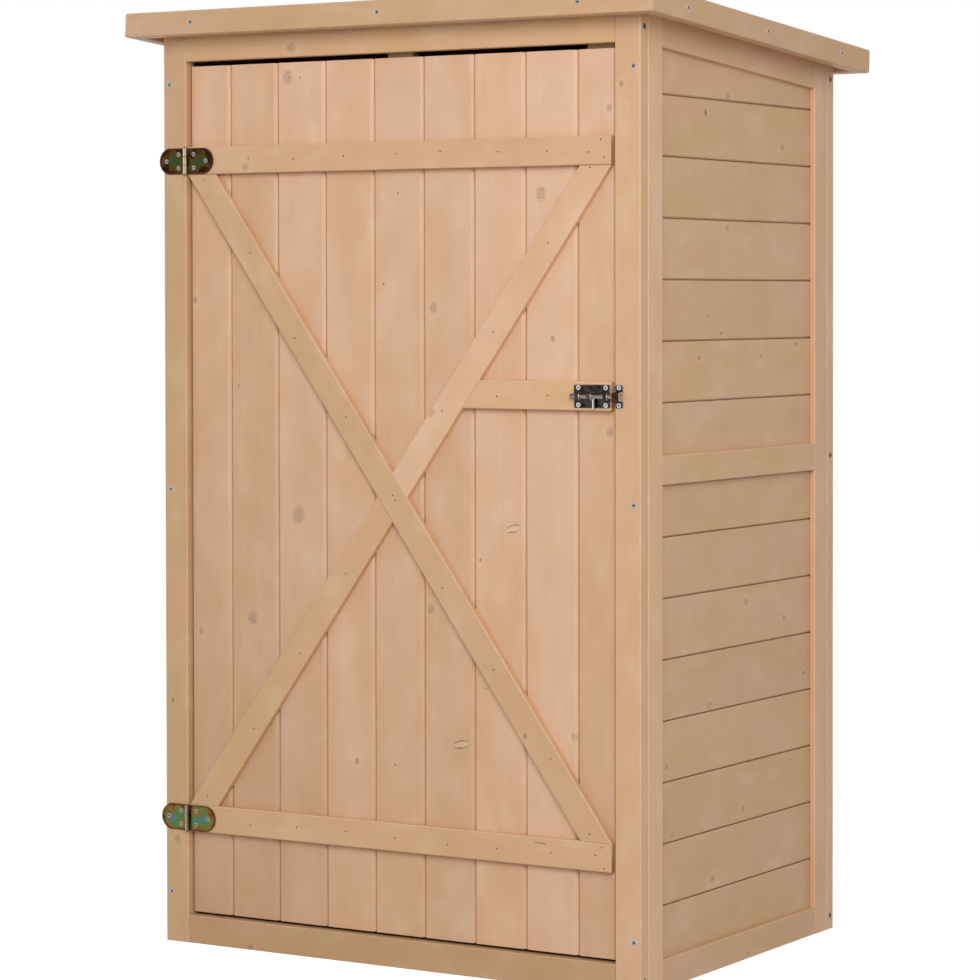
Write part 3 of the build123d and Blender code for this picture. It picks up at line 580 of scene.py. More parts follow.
def cross_head_screw(at, into, head, shank, length, bright=0.0, darkening=0.0):
    """A countersunk screw turned about its axis: rings of points run from the middle of the head to the rim,
    down the cone and along the shank to the point. The head is a low dome, pressed in where the smaller of
    |x| and |y| lies inside half a slot's width and the larger inside half its length, as shares of the head's
    radius. The recess is painted dark, and a whole head may be painted darker. The rim is painted bright,
    partly wear and partly painted highlight, and a whole head may be painted brighter, a painted highlight."""
    slot_half = 0.19
    slot_side = 0.08
    slot_reach = 0.66
    slot_end = 0.1
    slot_shallows = 0.7
    rim_starts = 0.86
    rim_width = 0.08
    rim_highlight = 0.6
    rim = 0.15 * mm
    dome = 0.45 * mm
    recess = 0.5 * mm
    around = np.linspace(0, 2 * np.pi, 40, endpoint=False)
    share = np.array([0.05, 0.14, 0.22, 0.3, 0.38, 0.46, 0.54, 0.62, 0.7, 0.8, 0.9, 0.97])
    x = share[:, None] * np.cos(around)
    y = share[:, None] * np.sin(around)
    narrow = np.minimum(np.abs(x), np.abs(y))
    far = np.maximum(np.abs(x), np.abs(y))
    inside = np.clip((slot_half - narrow) / slot_side, 0, 1)
    inside = inside * np.clip((slot_reach - far) / slot_end, 0, 1)
    height = rim + dome * (1 - share[:, None] ** 2) - recess * inside * (1 - slot_shallows * far)
    cone = (head - shank) / 2
    lower = [(head / 2, 0.0), (shank / 2, -cone), (shank / 2, shank / 2 - length), (0.1 * shank, -length)]
    lower = np.array(lower)
    radius = np.concatenate([share * head / 2, lower[:, 0]])
    height = np.concatenate([height, np.repeat(lower[:, 1:], len(around), axis=1)])
    up = X if abs(into[2]) > 0.9 else Z
    turned = draw.random() * np.pi
    spoke = np.cos(around + turned)[:, None] * up + np.sin(around + turned)[:, None] * np.cross(into, up)
    points = at + radius[:, None, None] * spoke - height[..., None] * into
    wear_and_painted_light = np.maximum(bright, rim_highlight * np.clip((share - rim_starts) / rim_width, 0, 1))
    below = np.zeros((len(lower), len(around)))
    return {
        "points": points.reshape(-1, 3),
        "faces": skin(len(radius), len(around)),
        "darkening": np.maximum(np.concatenate([inside, below]), darkening).reshape(-1),
        "bright": np.concatenate([np.repeat(wear_and_painted_light[:, None], len(around), axis=1), below]).reshape(-1),
    }


def plated_zinc():
    """Zinc plate on pressed steel: a dull grey, clouded at a few tenths of a millimetre, that is painted
    silver on rims and on some whole heads, partly rubbed wear and partly painted highlight, and painted dark
    down in the recess."""
    dull = linear("B5B4B1")
    clouded = linear("8B8985")
    silver_wear_and_highlight = linear("DADCDD")
    dark_tone = linear("1C1A19")
    cloud_width = 0.8 * mm
    material, tree = bare_material("zinc_plated_steel")
    place = add(tree, "TexCoord", out="Object")
    cloud = add(tree, "TexNoise", {"Vector": place, "Scale": 1 / cloud_width, "Detail": 3.0})
    darkening = add(tree, "Attribute", out="Fac", attribute_name="darkening")
    bright = add(tree, "Attribute", out="Fac", attribute_name="bright")
    tone = dull
    for share, colour in ((cloud, clouded), (bright, silver_wear_and_highlight), (darkening, dark_tone)):
        tone = add(tree, "Mix", {0: share, 6: tone, 7: colour}, out=2, data_type="RGBA")
    rough = add(tree, "MapRange", cloud, 0.0, 1.0, 0.25, 0.5)
    shader = add(tree, "BsdfPrincipled", {"Base Color": tone, "Metallic": 1.0, "Roughness": rough})
    add(tree, "OutputMaterial", shader, out=())
    return material


zinc = plated_zinc()
heads = []
edge_heads = []
for wall, into, fall, rails in (
    ("front", Y, 0.0, ("front_sill", "front_lintel")),
    ("rear", -Y, math.tan(roof_pitch), ("rear_bottom_rail", "rear_mid_rail", "rear_top_rail")),
):
    low, high = corners_of(wall + "_right_post")
    face = low if wall == "front" else high
    top = high[2] - batten_thickness * fall
    for side in (1, -1):
        for height in (wall_screw_from_end, top / 2, top - wall_screw_from_end):
            at = np.array([side * (high[0] - batten_thickness / 2), face[1], height])
            heads.append(cross_head_screw(at, into, screw_head, screw_shank, wall_screw_length))
        for rail in rails:
            height = corners_of(rail)[0][2] + batten_width / 2
            at = np.array([side * high[0], (low[1] + high[1]) / 2, height])
            head = cross_head_screw(at, -X * side, screw_head, screw_shank, rail_screw_length, darkening=0.7)
            edge_heads.append(head)
piece_of("zinc_wall_screws", heads, zinc, "shed", "zinc_screw", "wall_screws")
piece_of("zinc_rail_screws", edge_heads, zinc, "shed", "zinc_screw", "rail_screws")

# Floor: three fir bearers on the ground carry matched boards, laid with their V joint down and the plain
# face up, inside the four walls.
low, high = corners_of("floor_bearers")
reach = (low[0], -batten_width / 2, high[0] - batten_width)
section = rectangle(batten_width, batten_thickness)
ends = [(low, Y), (high, Y)]
bearers = [stick(section, X * left + Z * high[2], Y, X, -Z, ends, 0.6) for left in reach]
fir_piece("floor_bearers", bearers)
low, high = corners_of("floor_boards")
made = boards(rows_of_boards(low[1], high[1]), Z * low[2], X, Y, Z, [(low, X), (high, X)], 0.5)
fir_piece("floor_boards", made, "board")

# Shelf: five matched boards, tight against the back wall, on two fir cleats that are fixed to the middle
# rails of the side walls.
low, high = corners_of("shelf_cleats")
section = rectangle(high[2] - low[2], batten_thickness)
ends = [(low, Y), (high, Y)]
cleats = [
    stick(section, X * (high[0] - batten_thickness) + Z * low[2], Y, Z, X, ends, 0.6),
    stick(section, X * (low[0] + batten_thickness) + Z * low[2], Y, Z, -X, ends, 0.6),
]
fir_piece("shelf_cleats", cleats)
low, high = corners_of("shelf_boards")
made = boards(rows_of_boards(low[1], high[1]), Z * low[2], X, Y, Z, [(low, X), (high, X)], 0.5)
fir_piece("shelf_boards", made, "board")

# Door stops: two offcuts of fir batten behind the lintel, which the top of the door closes against.
# They are painted darker than the frame: a painted shade for the shade they stand in behind the lintel.
low, high = corners_of("door_stops")
stop_width = 36 * mm
section = rectangle(stop_width, batten_thickness)
ends = [(low, Z), (high, Z)]
lefts = (low[0], high[0] - stop_width)
stops = [stick(section, X * left + Y * low[1], Z, X, Y, ends, 1.1, 0.6) for left in lefts]
fir_piece("door_stops", stops)

# Door: nine upright matched boards, with a wider V joint, behind two ledges, a lock ledge and crossed
# braces. One brace runs through; the other is in two halves that butt against it. The ledges are flush with
# the frame.
first_door_board = 58.2 * mm
door_board_pitch = 70.8 * mm
door_joint = 3.2 * mm
brace_width = 34 * mm
ledge_end = 1.2 * mm
door_knots = [
    (-158, 1066, 7.5), (-139, 1065, 1.2), (202, 919, 7), (294, 1016, 4), (218, 751, 3), (53, 787, 5.5),
    (295, 644, 5), (-143, 535, 9), (-212, 407, 7), (-291, 387, 4), (-299, 796, 3.5), (-58, 242, 3),
    (-3, 241, 1.2), (49, 430, 5), (246, 291, 4), (3, 923, 1.3), (-18, 815, 1.5), (-233, 691, 1.3),
    (118, 491, 1.5), (126, 340, 1.2), (164, 529, -12), (92, 272, -15),
]
# Each board's warmth at foot and head, and its value at the foot; the value runs up to door_head_value at the
# head, so the boards are darker towards the foot: painted shade.
door_tones = [
    (0.45, 0.3, 0.87), (0.4, 0.2, 0.88), (0.5, 0.3, 0.88), (0.3, 0.05, 0.98), (0.35, 0.15, 0.98),
    (0.35, 0.2, 0.96), (0.3, 0.1, 1.0), (0.25, 0.15, 1.02), (0.35, 0.15, 0.93),
]
door_head_value = 1.05
door_stain_and_shade = 0.35
ledge_knots = [(-215, 958, 4.4), (56, 663, 4.5), (70, 493, 3), (185, 289, 2.6), (206, 166, 0.8, 13.0)]


def ledge_outline(width, thickness):
    """A ledge's outline. Wear below zero marks its lower arris, which is painted dark: a painted shade under
    the ledge.
    """
    lower_arris_shade = [-0.7, -0.7, -0.4]
    flat, wear_and_painted_light = rectangle(width, thickness)
    return flat, np.concatenate([lower_arris_shade, wear_and_painted_light[len(lower_arris_shade):]])


low, high = corners_of("door_boards")
knots = [(x, low[1] / mm, *size) for x, *size in door_knots]
door_rows = rows_of_boards(low[0], high[0], first_door_board, door_board_pitch)
ends = [(low, Z), (high, Z)]
made = [
    stick(
        matched(width, groove, tongue, door_joint, door_stain_and_shade), Y * low[1] + X * edge, Z, X, Y, ends,
        (foot_warmth, head_warmth), (foot_value, door_head_value), knots,
    )
    for (edge, width, groove, tongue), (foot_warmth, head_warmth, foot_value) in zip(door_rows, door_tones)
]
fir_piece("door_boards", made, "board", "door")
front = corners_of("door_top_ledge")[0][1]
ledge_depth = low[1] - front
knots = [(x, front / mm, *size) for x, *size in ledge_knots]
for name, warmth, value in (("door_top_ledge", 0.72, 1.03), ("door_bottom_ledge", 0.65, 1.0)):
    low, high = corners_of(name)
    section = ledge_outline(high[2] - low[2], ledge_depth)
    ledge = stick(section, low, X, Z, Y, [(low, X), (high, X)], warmth, value, knots, ledge_end)
    fir_piece(name, [ledge], body="door")
low, high = corners_of("door_long_brace")
span, _, drop = high - low
lean = math.atan2(drop, span)
# The cut ends take up more of the span the flatter the brace lies, so a few rounds close in on its lean
for _ in range(8):
    lean = math.atan2(drop, span - brace_width / math.sin(lean))
falling = np.array([math.cos(lean), 0, -math.sin(lean)])
over = np.array([math.sin(lean), 0, math.cos(lean)])
rising = falling * [1, 1, -1]
under = over * [1, 1, -1]
section = rectangle(brace_width, ledge_depth)
upper_left = low * (X + Y) + high * Z
top_cut = (high, Z)
foot_cut = (low, Z)
below_brace = (upper_left, over)
above_brace = (upper_left + over * brace_width, over)
for name, origin, along, across, ends, warmth, value in (
    ("door_long_brace", upper_left, falling, over, [top_cut, foot_cut], (0.5, 0.65), 0.98),
    ("door_lower_half_brace", low, rising, under, [foot_cut, below_brace], (0.85, 0.5), (0.96, 1.0)),
    ("door_upper_half_brace", low, rising, under, [above_brace, top_cut], 0.45, 1.07),
):
    brace = stick(section, origin, along, across, Y, ends, warmth, value, knots)
    fir_piece(name, [brace], body="door")
brace_edge = (low + under * brace_width, under)
low, high = corners_of("door_lock_ledge")
section = ledge_outline(brace_width, ledge_depth)
foot = Y * low[1] + Z * low[2]
lock_ledge = stick(section, foot, X, Z, Y, [brace_edge, (high, X)], 0.8, 1.07, knots, ledge_end)
fir_piece("door_lock_ledge", [lock_ledge], body="door")

# Brads: small steel nails that hold the ledges and braces to the boards, one to a board and more at the
# latch edge. They are punched flush, so only a dark dot shows, wandering a few millimetres from the middle
# of the timber.
brad_radius = 0.9 * mm
brad_wander = 5 * mm
latch_inset = 9 * mm


def ring_outline(radius, wear_and_painted_light=0.0, least=0.0, toward=0.0, count=32):
    """A circle about the path, painted brightest toward one angle and least on the far side: a painted
    highlight, partly wear on the knob.
    """
    around = np.linspace(0, 2 * np.pi, count, endpoint=False)
    share = (0.5 + 0.5 * np.cos(around - toward)) ** 3
    return radius * np.stack([np.cos(around), np.sin(around)], axis=1), least + (wear_and_painted_light - least) * share


def brad(place):
    """The head of a brad in the face of a ledge: a disc a tenth of a millimetre proud, dark all over."""
    proud = 0.1 * mm
    ends = [(Y * (front + 1 * mm), -Y), (Y * (front - proud), -Y)]
    head = carried(ring_outline(brad_radius, count=12), place * (X + Z), -Y, X, Z, ends, proud)
    dark = np.ones(len(head["points"]))
    return {"points": head["points"], "faces": head["faces"], "darkening": dark, "bright": 0 * dark}


places = []
middles = [edge + width / 2 for edge, width, _, _ in door_rows]
for name in ("door_top_ledge", "door_bottom_ledge"):
    low, high = corners_of(name)
    level = (low[2] + high[2]) / 2
    places += [np.array([x, 0, level]) for x in middles[1:]]
    latch = high[0] - latch_inset
    places += [np.array([latch, 0, level + rise]) for rise in (-2 * brad_wander, 2 * brad_wander)]
low, high = corners_of("door_long_brace")
for start, along, across in ((upper_left, falling, over), (low, rising, under)):
    centre = start + across * brace_width / 2
    reach = [(x - centre[0]) / along[0] for x in middles]
    places += [centre + along * run for run in reach if low[2] < (centre + along * run)[2] < high[2]]
low, high = corners_of("door_lock_ledge")
level = (low[2] + high[2]) / 2
clear_of_bolt = high[0] - 2 * batten_width
places += [np.array([x, 0, level]) for x in middles if low[0] < x < clear_of_bolt]
wander = draw.uniform(-brad_wander, brad_wander, (len(places), 3))
heads = [brad(place + aside * [1, 0, 0.7]) for place, aside in zip(places, wander)]
piece_of("steel_door_brads", heads, zinc, "door", "zinc_screw")

# Hinges: two butt hinges pressed from steel, each leaf round at its end and rolled into knuckles on a pin.
# They are zinc-plated and passivated, which leaves a thin film with bands of olive, gold, green and violet.
hinge_plate = 1.5 * mm
hinge_barrel = 6 * mm
barrel_clearance = 0.3 * mm
knuckle_gap = 0.25 * mm
near_screw = 11.5 * mm
far_screw = 30 * mm
screw_rise = 8.3 * mm
barrel_batch = -0.5
pin_radius = 1.5 * mm
rivet_radius = 2.2 * mm
rivet_tall = 0.8 * mm
rivet_ease = 0.39 * mm
pin_highlight = 0.6
leaf_corner = 0.3 * mm
leaf_ease = 0.35 * mm
nose_slack = 0.05 * mm
knuckle_ease = 0.4 * mm
neck_lap = 1 * mm
neck_ease = 0.2 * mm
highlight_side = -0.8 * np.pi
small_head = 5.6 * mm
small_shank = 2.4 * mm
small_length = 9 * mm


def passivated_zinc():
    """Yellow-passivated zinc on pressed steel: a smooth metal whose film is thinnest at the leaf's edge, so
    that its colours run round the leaf in soft bands, red-brown, gold, olive, green, teal and violet, broken
    by slow drifts. The barrel, the pin and its rivets carry a cream painted highlight down one side."""
    film = ("4A2C22", "80582B", "7A7030", "50743F", "4B7C73", "6A6486", "80585A", "8A7638")
    edge_brown = linear("4E2A22")
    rubbed_and_highlit = linear("F0DCBC")
    leaf_radius = 16 * mm
    leaf_straight = 25 * mm
    drift_width = 12 * mm
    scratch_width = 0.4 * mm
    material, tree = bare_material("passivated_zinc_plate")
    leaf = add(tree, "Attribute", out="Vector", attribute_name="grain")
    batch = add(tree, "Attribute", out="Fac", attribute_name="batch")
    wear_and_painted_light = add(tree, "Attribute", out="Fac", attribute_name="wear_and_painted_light")
    away, up = add(tree, "SeparateXYZ", leaf, out=(1, 2))
    past = add(tree, "Math", away, leaf_straight, operation="SUBTRACT")
    past = add(tree, "Math", past, 0.0, operation="MAXIMUM")
    off_middle = add(tree, "CombineXYZ", past, up)
    off_middle = add(tree, "VectorMath", off_middle, operation="LENGTH", out="Value")
    inward = add(tree, "MapRange", off_middle, leaf_radius, 0.0)
    place = add(tree, "TexCoord", out="Object")
    drift = {"Vector": place, "Scale": 1 / drift_width, "Detail": 2.0, "Distortion": 0.5}
    drift = add(tree, "TexNoise", drift)
    thickness = add(tree, "Math", drift, 1.3, -0.72, operation="MULTIPLY_ADD")
    thickness = add(tree, "Math", inward, 0.5, thickness, operation="MULTIPLY_ADD")
    thickness = add(tree, "Math", batch, 0.32, thickness, operation="MULTIPLY_ADD")
    tone = add(tree, "ValToRGB", thickness)
    stops = tone.node.color_ramp.elements
    while len(stops) < len(film):
        stops.new(0.5)
    for number, colour in enumerate(film):
        stops[number].position = number / (len(film) - 1)
        stops[number].color = linear(colour)
    dark = add(tree, "MapRange", batch, 0.0, 0.5, 0.34, 0.85)
    tone = add(tree, "VectorMath", {0: tone, "Scale": dark}, operation="SCALE")
    rim = add(tree, "MapRange", inward, 0.2, 0.0)
    for share, colour in ((rim, edge_brown), (wear_and_painted_light, rubbed_and_highlit)):
        tone = add(tree, "Mix", {0: share, 6: tone, 7: colour}, out=2, data_type="RGBA")
    thin = add(tree, "VectorMath", place, (1 / scratch_width, 20.0, 60.0), operation="MULTIPLY")
    scratch = add(tree, "TexNoise", {"Vector": thin, "Scale": 1.0, "Detail": 2.0})
    rough = add(tree, "MapRange", scratch, 0.0, 1.0, 0.2, 0.4)
    bump = add(tree, "Bump", {"Strength": 0.1, "Distance": 0.1 * mm, "Height": scratch})
    finish = {"Base Color": tone, "Metallic": 1.0, "Roughness": rough, "Normal": bump}
    shader = add(tree, "BsdfPrincipled", finish)
    add(tree, "OutputMaterial", shader, out=())
    return material


def in_batch(parts, batch):
    """Marks parts with the batch that they were dipped in, which sets the thickness of their film."""
    for part in parts:
        part["batch"] = np.full(len(part["points"]), batch)


def small_screw(at, bright, darkening=0.0):
    """A short screw with a small head, driven straight back through the hardware."""
    return cross_head_screw(at, Y, small_head, small_shank, small_length, bright, darkening)


passivated = passivated_zinc()
frame_heads = []
door_heads = []
for hinge, batch, most, least in (("top_hinge", 0.0, 1.0, 0.15), ("bottom_hinge", 0.5, 0.7, 0.0)):
    low, high = corners_of(hinge + "_pin")
    pin = (low + high) / 2
    shank_ends = [(low + Z * rivet_tall, Z), (high - Z * rivet_tall, Z)]
    pin_parts = [carried(ring_outline(pin_radius, pin_highlight), pin * (X + Y), Z, X, Y, shank_ends)]
    for base in (low[2], high[2] - rivet_tall):
        rivet = ring_outline(rivet_radius, pin_highlight)
        rivet_ends = [(Z * base, Z), (Z * (base + rivet_tall), Z)]
        pin_parts.append(carried(rivet, pin * (X + Y), Z, X, Y, rivet_ends, rivet_ease))
    low, high = corners_of(hinge + "_frame_leaf")
    tall = high[2] - low[2]
    knuckle = tall / 3
    leaf_length = pin[0] - low[0]
    clear = hinge_barrel / 2 + barrel_clearance
    nose = tall / 2 - nose_slack
    leaf_face = front - hinge_plate
    leaf_outline, flat = eased(
        [(clear, -tall / 2), (leaf_length, -tall / 2), (leaf_length, tall / 2), (clear, tall / 2)],
        [leaf_corner, nose, nose, leaf_corner], 16,
    )
    # The barrel's cream band down one side is a painted highlight.
    barrel = ring_outline(hinge_barrel / 2, most, least, highlight_side)
    pieces = [(hinge + "_pin", "steel_", pin_parts, "shed")]
    for leaf, body, side, knuckles in (("frame", "shed", -1, (0, 2)), ("door", "door", 1, (1,))):
        thickness = [(Y * front, -Y), (Y * leaf_face, -Y)]
        parts = [carried((leaf_outline, 0 * flat), pin * (X + Z), -Y, X * side, Z, thickness, leaf_ease)]
        knuckles_made = []
        for number in knuckles:
            start = low[2] + number * knuckle
            reach = [(Z * (start + knuckle_gap), Z), (Z * (start + knuckle - knuckle_gap), Z)]
            knuckles_made.append(carried(barrel, pin * (X + Y), Z, X, Y, reach, knuckle_ease))
            neck = rectangle(clear + neck_lap, hinge_plate, neck_ease)
            parts.append(carried(neck, X * pin[0] + Y * leaf_face, Z, X * side, Y, reach, neck_ease))
        in_batch(parts, batch)
        in_batch(knuckles_made, barrel_batch)
        pieces.append((hinge + "_" + leaf + "_leaf", "plate_", parts + knuckles_made, body))
        heads = frame_heads if leaf == "frame" else door_heads
        for out, rise in ((near_screw, screw_rise), (near_screw, -screw_rise), (far_screw, 0)):
            at = np.array([pin[0] + side * out, leaf_face, pin[2] + rise])
            heads.append(small_screw(at, 0.1, 0.25))
    in_batch(pin_parts, barrel_batch)
    for name, stuff, parts, body in pieces:
        piece_of(stuff + name, parts, passivated, body, "passivated_zinc", name)

# Barrel bolt: a nickel-plated plate with three pressed-up loops, a round bolt that slides in them with its
# own turning knob, and a keep bent from strip on the post. The bolt is drawn, its tip just clear of the keep.
# Edges and knob are painted bright, partly wear and partly painted highlight.
plate_thickness = 1 * mm
loop_width = 5.5 * mm
loop_wall = 1.4 * mm
guide_gap = 0.4 * mm
first_loop = 5.5 * mm
middle_loop = 21 * mm
last_loop = 42.6 * mm
bolt_screw_inset = 6 * mm
bolt_screw_rise = 10 * mm
plate_corner = 0.8 * mm
plate_ease = 0.25 * mm
loop_ease = 0.5 * mm
rod_ease = 0.9 * mm
knob_root = 0.4 * mm
knob_roundness = 0.92
keep_clearance = 0.8 * mm
shoulder = 3 * mm
strap_arris = 0.4 * mm
strap_ease = 0.3 * mm


def nickel_plate():
    """Nickel plate on pressed steel, painted a dark brown that stands for a painted reflection of dark
    surroundings, and clouded by handling, with fine scratches along the slide; on edges, along the slide and
    on the knob it is painted a warm silver, partly rubbed wear and partly painted highlight."""
    dark_reflection = linear("2C2523")
    clouded = linear("4C433D")
    silver_wear_and_highlight = linear("F0ECE6")
    cloud_width = 7 * mm
    scratch_width = 0.25 * mm
    material, tree = bare_material("nickel_plate_dark_reflection")
    place = add(tree, "TexCoord", out="Object")
    wear_and_painted_light = add(tree, "Attribute", out="Fac", attribute_name="wear_and_painted_light")
    cloud = add(tree, "TexNoise", {"Vector": place, "Scale": 1 / cloud_width, "Detail": 2.0})
    cloud = add(tree, "MapRange", cloud, 0.35, 0.65)
    tone = dark_reflection
    for share, colour in ((cloud, clouded), (wear_and_painted_light, silver_wear_and_highlight)):
        tone = add(tree, "Mix", {0: share, 6: tone, 7: colour}, out=2, data_type="RGBA")
    thin = add(tree, "VectorMath", place, (30.0, 900.0, 1 / scratch_width), operation="MULTIPLY")
    scratch = add(tree, "TexNoise", {"Vector": thin, "Scale": 1.0, "Detail": 2.0})
    rough = add(tree, "MapRange", scratch, 0.0, 1.0, 0.12, 0.28)
    shader = add(tree, "BsdfPrincipled", {"Base Color": tone, "Metallic": 1.0, "Roughness": rough})
    add(tree, "OutputMaterial", shader, out=())
    return material


def arch(outer, inner, leg):
    """A loop's section about the bolt: legs from the plate up to the bolt's axis, a half circle over it."""
    turn = np.linspace(0, np.pi, 17)
    over = np.stack([np.cos(turn), -np.sin(turn)], axis=1)
    points = [[(outer, leg)], outer * over, [(-outer, leg), (-inner, leg)]]
    points = np.concatenate(points + [inner * over[::-1], [(inner, leg)]])
    return points, np.zeros(len(points))


def sheet_plate(low, high):
    """A flat plate with small round corners on the face of the timber, between two corners in (x, z)."""
    outline = rectangle(high[0] - low[0], high[2] - low[2], plate_corner)
    thickness = [(Y * front, -Y), (Y * plate_face, -Y)]
    return carried(outline, low * (X + Z), -Y, X, Z, thickness, plate_ease)


nickel = nickel_plate()
plate_face = front - plate_thickness
low, high = corners_of("bolt_rod")
axis = (low + high) / 2 * (Y + Z)
bolt_radius = (high[2] - low[2]) / 2
# A pale band along the rod's lower side: a painted highlight.
rod_round = ring_outline(bolt_radius, 0.22, 0.0, -0.9 * np.pi)
rod = carried(rod_round, axis, X, Y, Z, [(low, X), (high, X)], rod_ease)
piece_of("nickel_bolt_rod", [rod], nickel, "bolt", "nickel", "bolt_rod")
low, high = corners_of("bolt_knob")
knob = (low + high) / 2
knob_radius = (high[0] - low[0]) / 2
knob_ends = [(Z * (high[2] + knob_root), -Z), (Z * low[2], -Z)]
# The knob is painted bright down one side and round its end: partly wear, partly painted highlight.
knob_round = ring_outline(knob_radius, 1.0, 0.1, -0.7 * np.pi)
pin = carried(knob_round, X * knob + Y * axis, -Z, X, Y, knob_ends, knob_radius * knob_roundness, rim=1.0)
piece_of("nickel_bolt_knob", [pin], nickel, "knob", "nickel", "bolt_knob")
low, high = corners_of("bolt_plate")
leg = plate_face - axis[1]
guide = bolt_radius + guide_gap
parts = [sheet_plate(low, high)]
for edge in (first_loop, middle_loop, last_loop):
    reach = [(X * (low[0] + edge), X), (X * (low[0] + edge + loop_width), X)]
    # The loops' cut ends are painted bright: a painted highlight.
    parts.append(carried(arch(guide + loop_wall, guide, leg), axis, X, Z, Y, reach, loop_ease, rim=1.0))
piece_of("nickel_bolt_plate", parts, nickel, "door", "nickel", "bolt_plate")
for x in (low[0] + bolt_screw_inset, high[0] - bolt_screw_inset):
    for rise in (-bolt_screw_rise, bolt_screw_rise):
        at = np.array([x, plate_face, axis[2] + rise])
        door_heads.append(small_screw(at, 0.7))
low, high = corners_of("bolt_keep")
keep_room = bolt_radius + keep_clearance
keep_reach = keep_room + loop_wall
strap, flat = eased(
    [
        (keep_reach, leg), (keep_reach, -keep_reach), (-keep_reach, -keep_reach), (-keep_reach, leg),
        (-keep_room, leg), (-keep_room, -keep_room), (keep_room, -keep_room), (keep_room, leg),
    ],
    [strap_arris, shoulder, shoulder] + 5 * [strap_arris], 6,
)
# The keep's cut ends are painted bright: a painted highlight.
strap = carried((strap, 0 * flat), axis, X, Z, Y, [(low, X), (high, X)], strap_ease, rim=1.0)
lower_foot = sheet_plate(low, high * (X + Y) + (axis - Z * keep_room) * Z)
upper_foot = sheet_plate(low * (X + Y) + (axis + Z * keep_room) * Z, high)
piece_of("nickel_bolt_keep", [lower_foot, upper_foot, strap], nickel, "shed", "nickel", "bolt_keep")
for rise in (-bolt_screw_rise, bolt_screw_rise):
    at = np.array([(low[0] + high[0]) / 2, plate_face, axis[2] + rise])
    frame_heads.append(small_screw(at, 0.7))
piece_of("zinc_frame_hardware_screws", frame_heads, zinc, "shed", "zinc_screw", "frame_hardware_screws")
piece_of("zinc_door_hardware_screws", door_heads, zinc, "door", "zinc_screw", "door_hardware_screws")

# Roof: a flat panel that falls to the back. Mitred fir fascias go round deck boards on rafters and edge
# battens, and mineral felt lies on the deck, just below the fascias' top edge.
low, high = corners_of("roof_right_fascia")
fascia_height = 30 * mm
fascia_thickness = 18 * mm
fascia_arris = 2.2 * mm
roof_length = (high[1] - low[1] - fascia_height * math.sin(roof_pitch)) / math.cos(roof_pitch)
roof_width = 2 * high[0]
top_edge = high[2] * Z + (high[1] + low[1] + fascia_height * math.sin(roof_pitch)) / 2 * Y
roof_middle = top_edge - Z * roof_length / 2 * math.sin(roof_pitch)
section = rectangle(fascia_height, fascia_thickness, fascia_arris, 4)
mitre_ease = 0.25 * mm
for name, along, away, reach, end, warmth, value in (
    ("roof_front_fascia", X, -down_slope, roof_length / 2, roof_width / 2, 0.55, 0.9),
    ("roof_rear_fascia", X, down_slope, roof_length / 2, roof_width / 2, 0.5, 0.97),
    ("roof_right_fascia", down_slope, X, roof_width / 2, roof_length / 2, 0.8, 0.9),
    ("roof_left_fascia", down_slope, -X, roof_width / 2, roof_length / 2, 0.6, 0.9),
):
    corner = roof_middle + away * reach
    ends = [(corner - along * end, along + away), (corner + along * end, along - away)]
    fascia = stick(section, corner, along, -off_roof, -away, ends, warmth, value, ease=mitre_ease)
    fir_piece(name, [fascia])
inside_length = roof_length / 2 - fascia_thickness
inside_width = roof_width / 2 - fascia_thickness
felt_top = 1 * mm
felt_thickness = 2 * mm
deck_bottom = felt_top + felt_thickness + board_thickness
rafter_thickness = 12 * mm
rafter_spacing = 275 * mm
section = rectangle(batten_width, rafter_thickness)
under_deck = roof_middle - off_roof * deck_bottom
half = down_slope * inside_length
ends = [(roof_middle - half, down_slope), (roof_middle + half, down_slope)]
for name, lefts in (
    ("roof_rafters", [way - batten_width / 2 for way in (-rafter_spacing, 0, rafter_spacing)]),
    ("roof_edge_battens", [-inside_width, inside_width - batten_width]),
):
    made = [stick(section, under_deck + X * left, down_slope, X, -off_roof, ends, 0.5) for left in lefts]
    fir_piece(name, made)
deck_gap = 0.4 * mm
rows = rows_of_boards(deck_gap - inside_length, inside_length - deck_gap)
ends = [(X * (deck_gap - inside_width), X), (X * (inside_width - deck_gap), X)]
made = boards(rows, under_deck, X, down_slope, off_roof, ends, 0.5)
fir_piece("roof_deck", made, "board")

# Fascia screws: the same zinc-plated screws, three to a side, driven through the fascias into the rafters'
# ends and the edge battens.
fascia_screw_length = 40 * mm
side_screw_spacing = 197 * mm
heads = []
for away, along, reach, spacing in (
    (-down_slope, X, roof_length / 2, rafter_spacing),
    (down_slope, X, roof_length / 2, rafter_spacing),
    (X, down_slope, roof_width / 2, side_screw_spacing),
    (-X, down_slope, roof_width / 2, side_screw_spacing),
):
    for way in (-spacing, 0, spacing):
        at = roof_middle + away * reach + along * way - off_roof * fascia_height / 2
        heads.append(cross_head_screw(at, -away, screw_head, screw_shank, fascia_screw_length))
piece_of("zinc_fascia_screws", heads, zinc, "shed", "zinc_screw", "fascia_screws")

# Felt: one sheet of mineral-faced bitumen felt, bonded to the deck between the fascias, so that it lies a
# little wavy and its edges are held down.
felt_gap = 0.6 * mm
felt_slack = 0.75 * mm


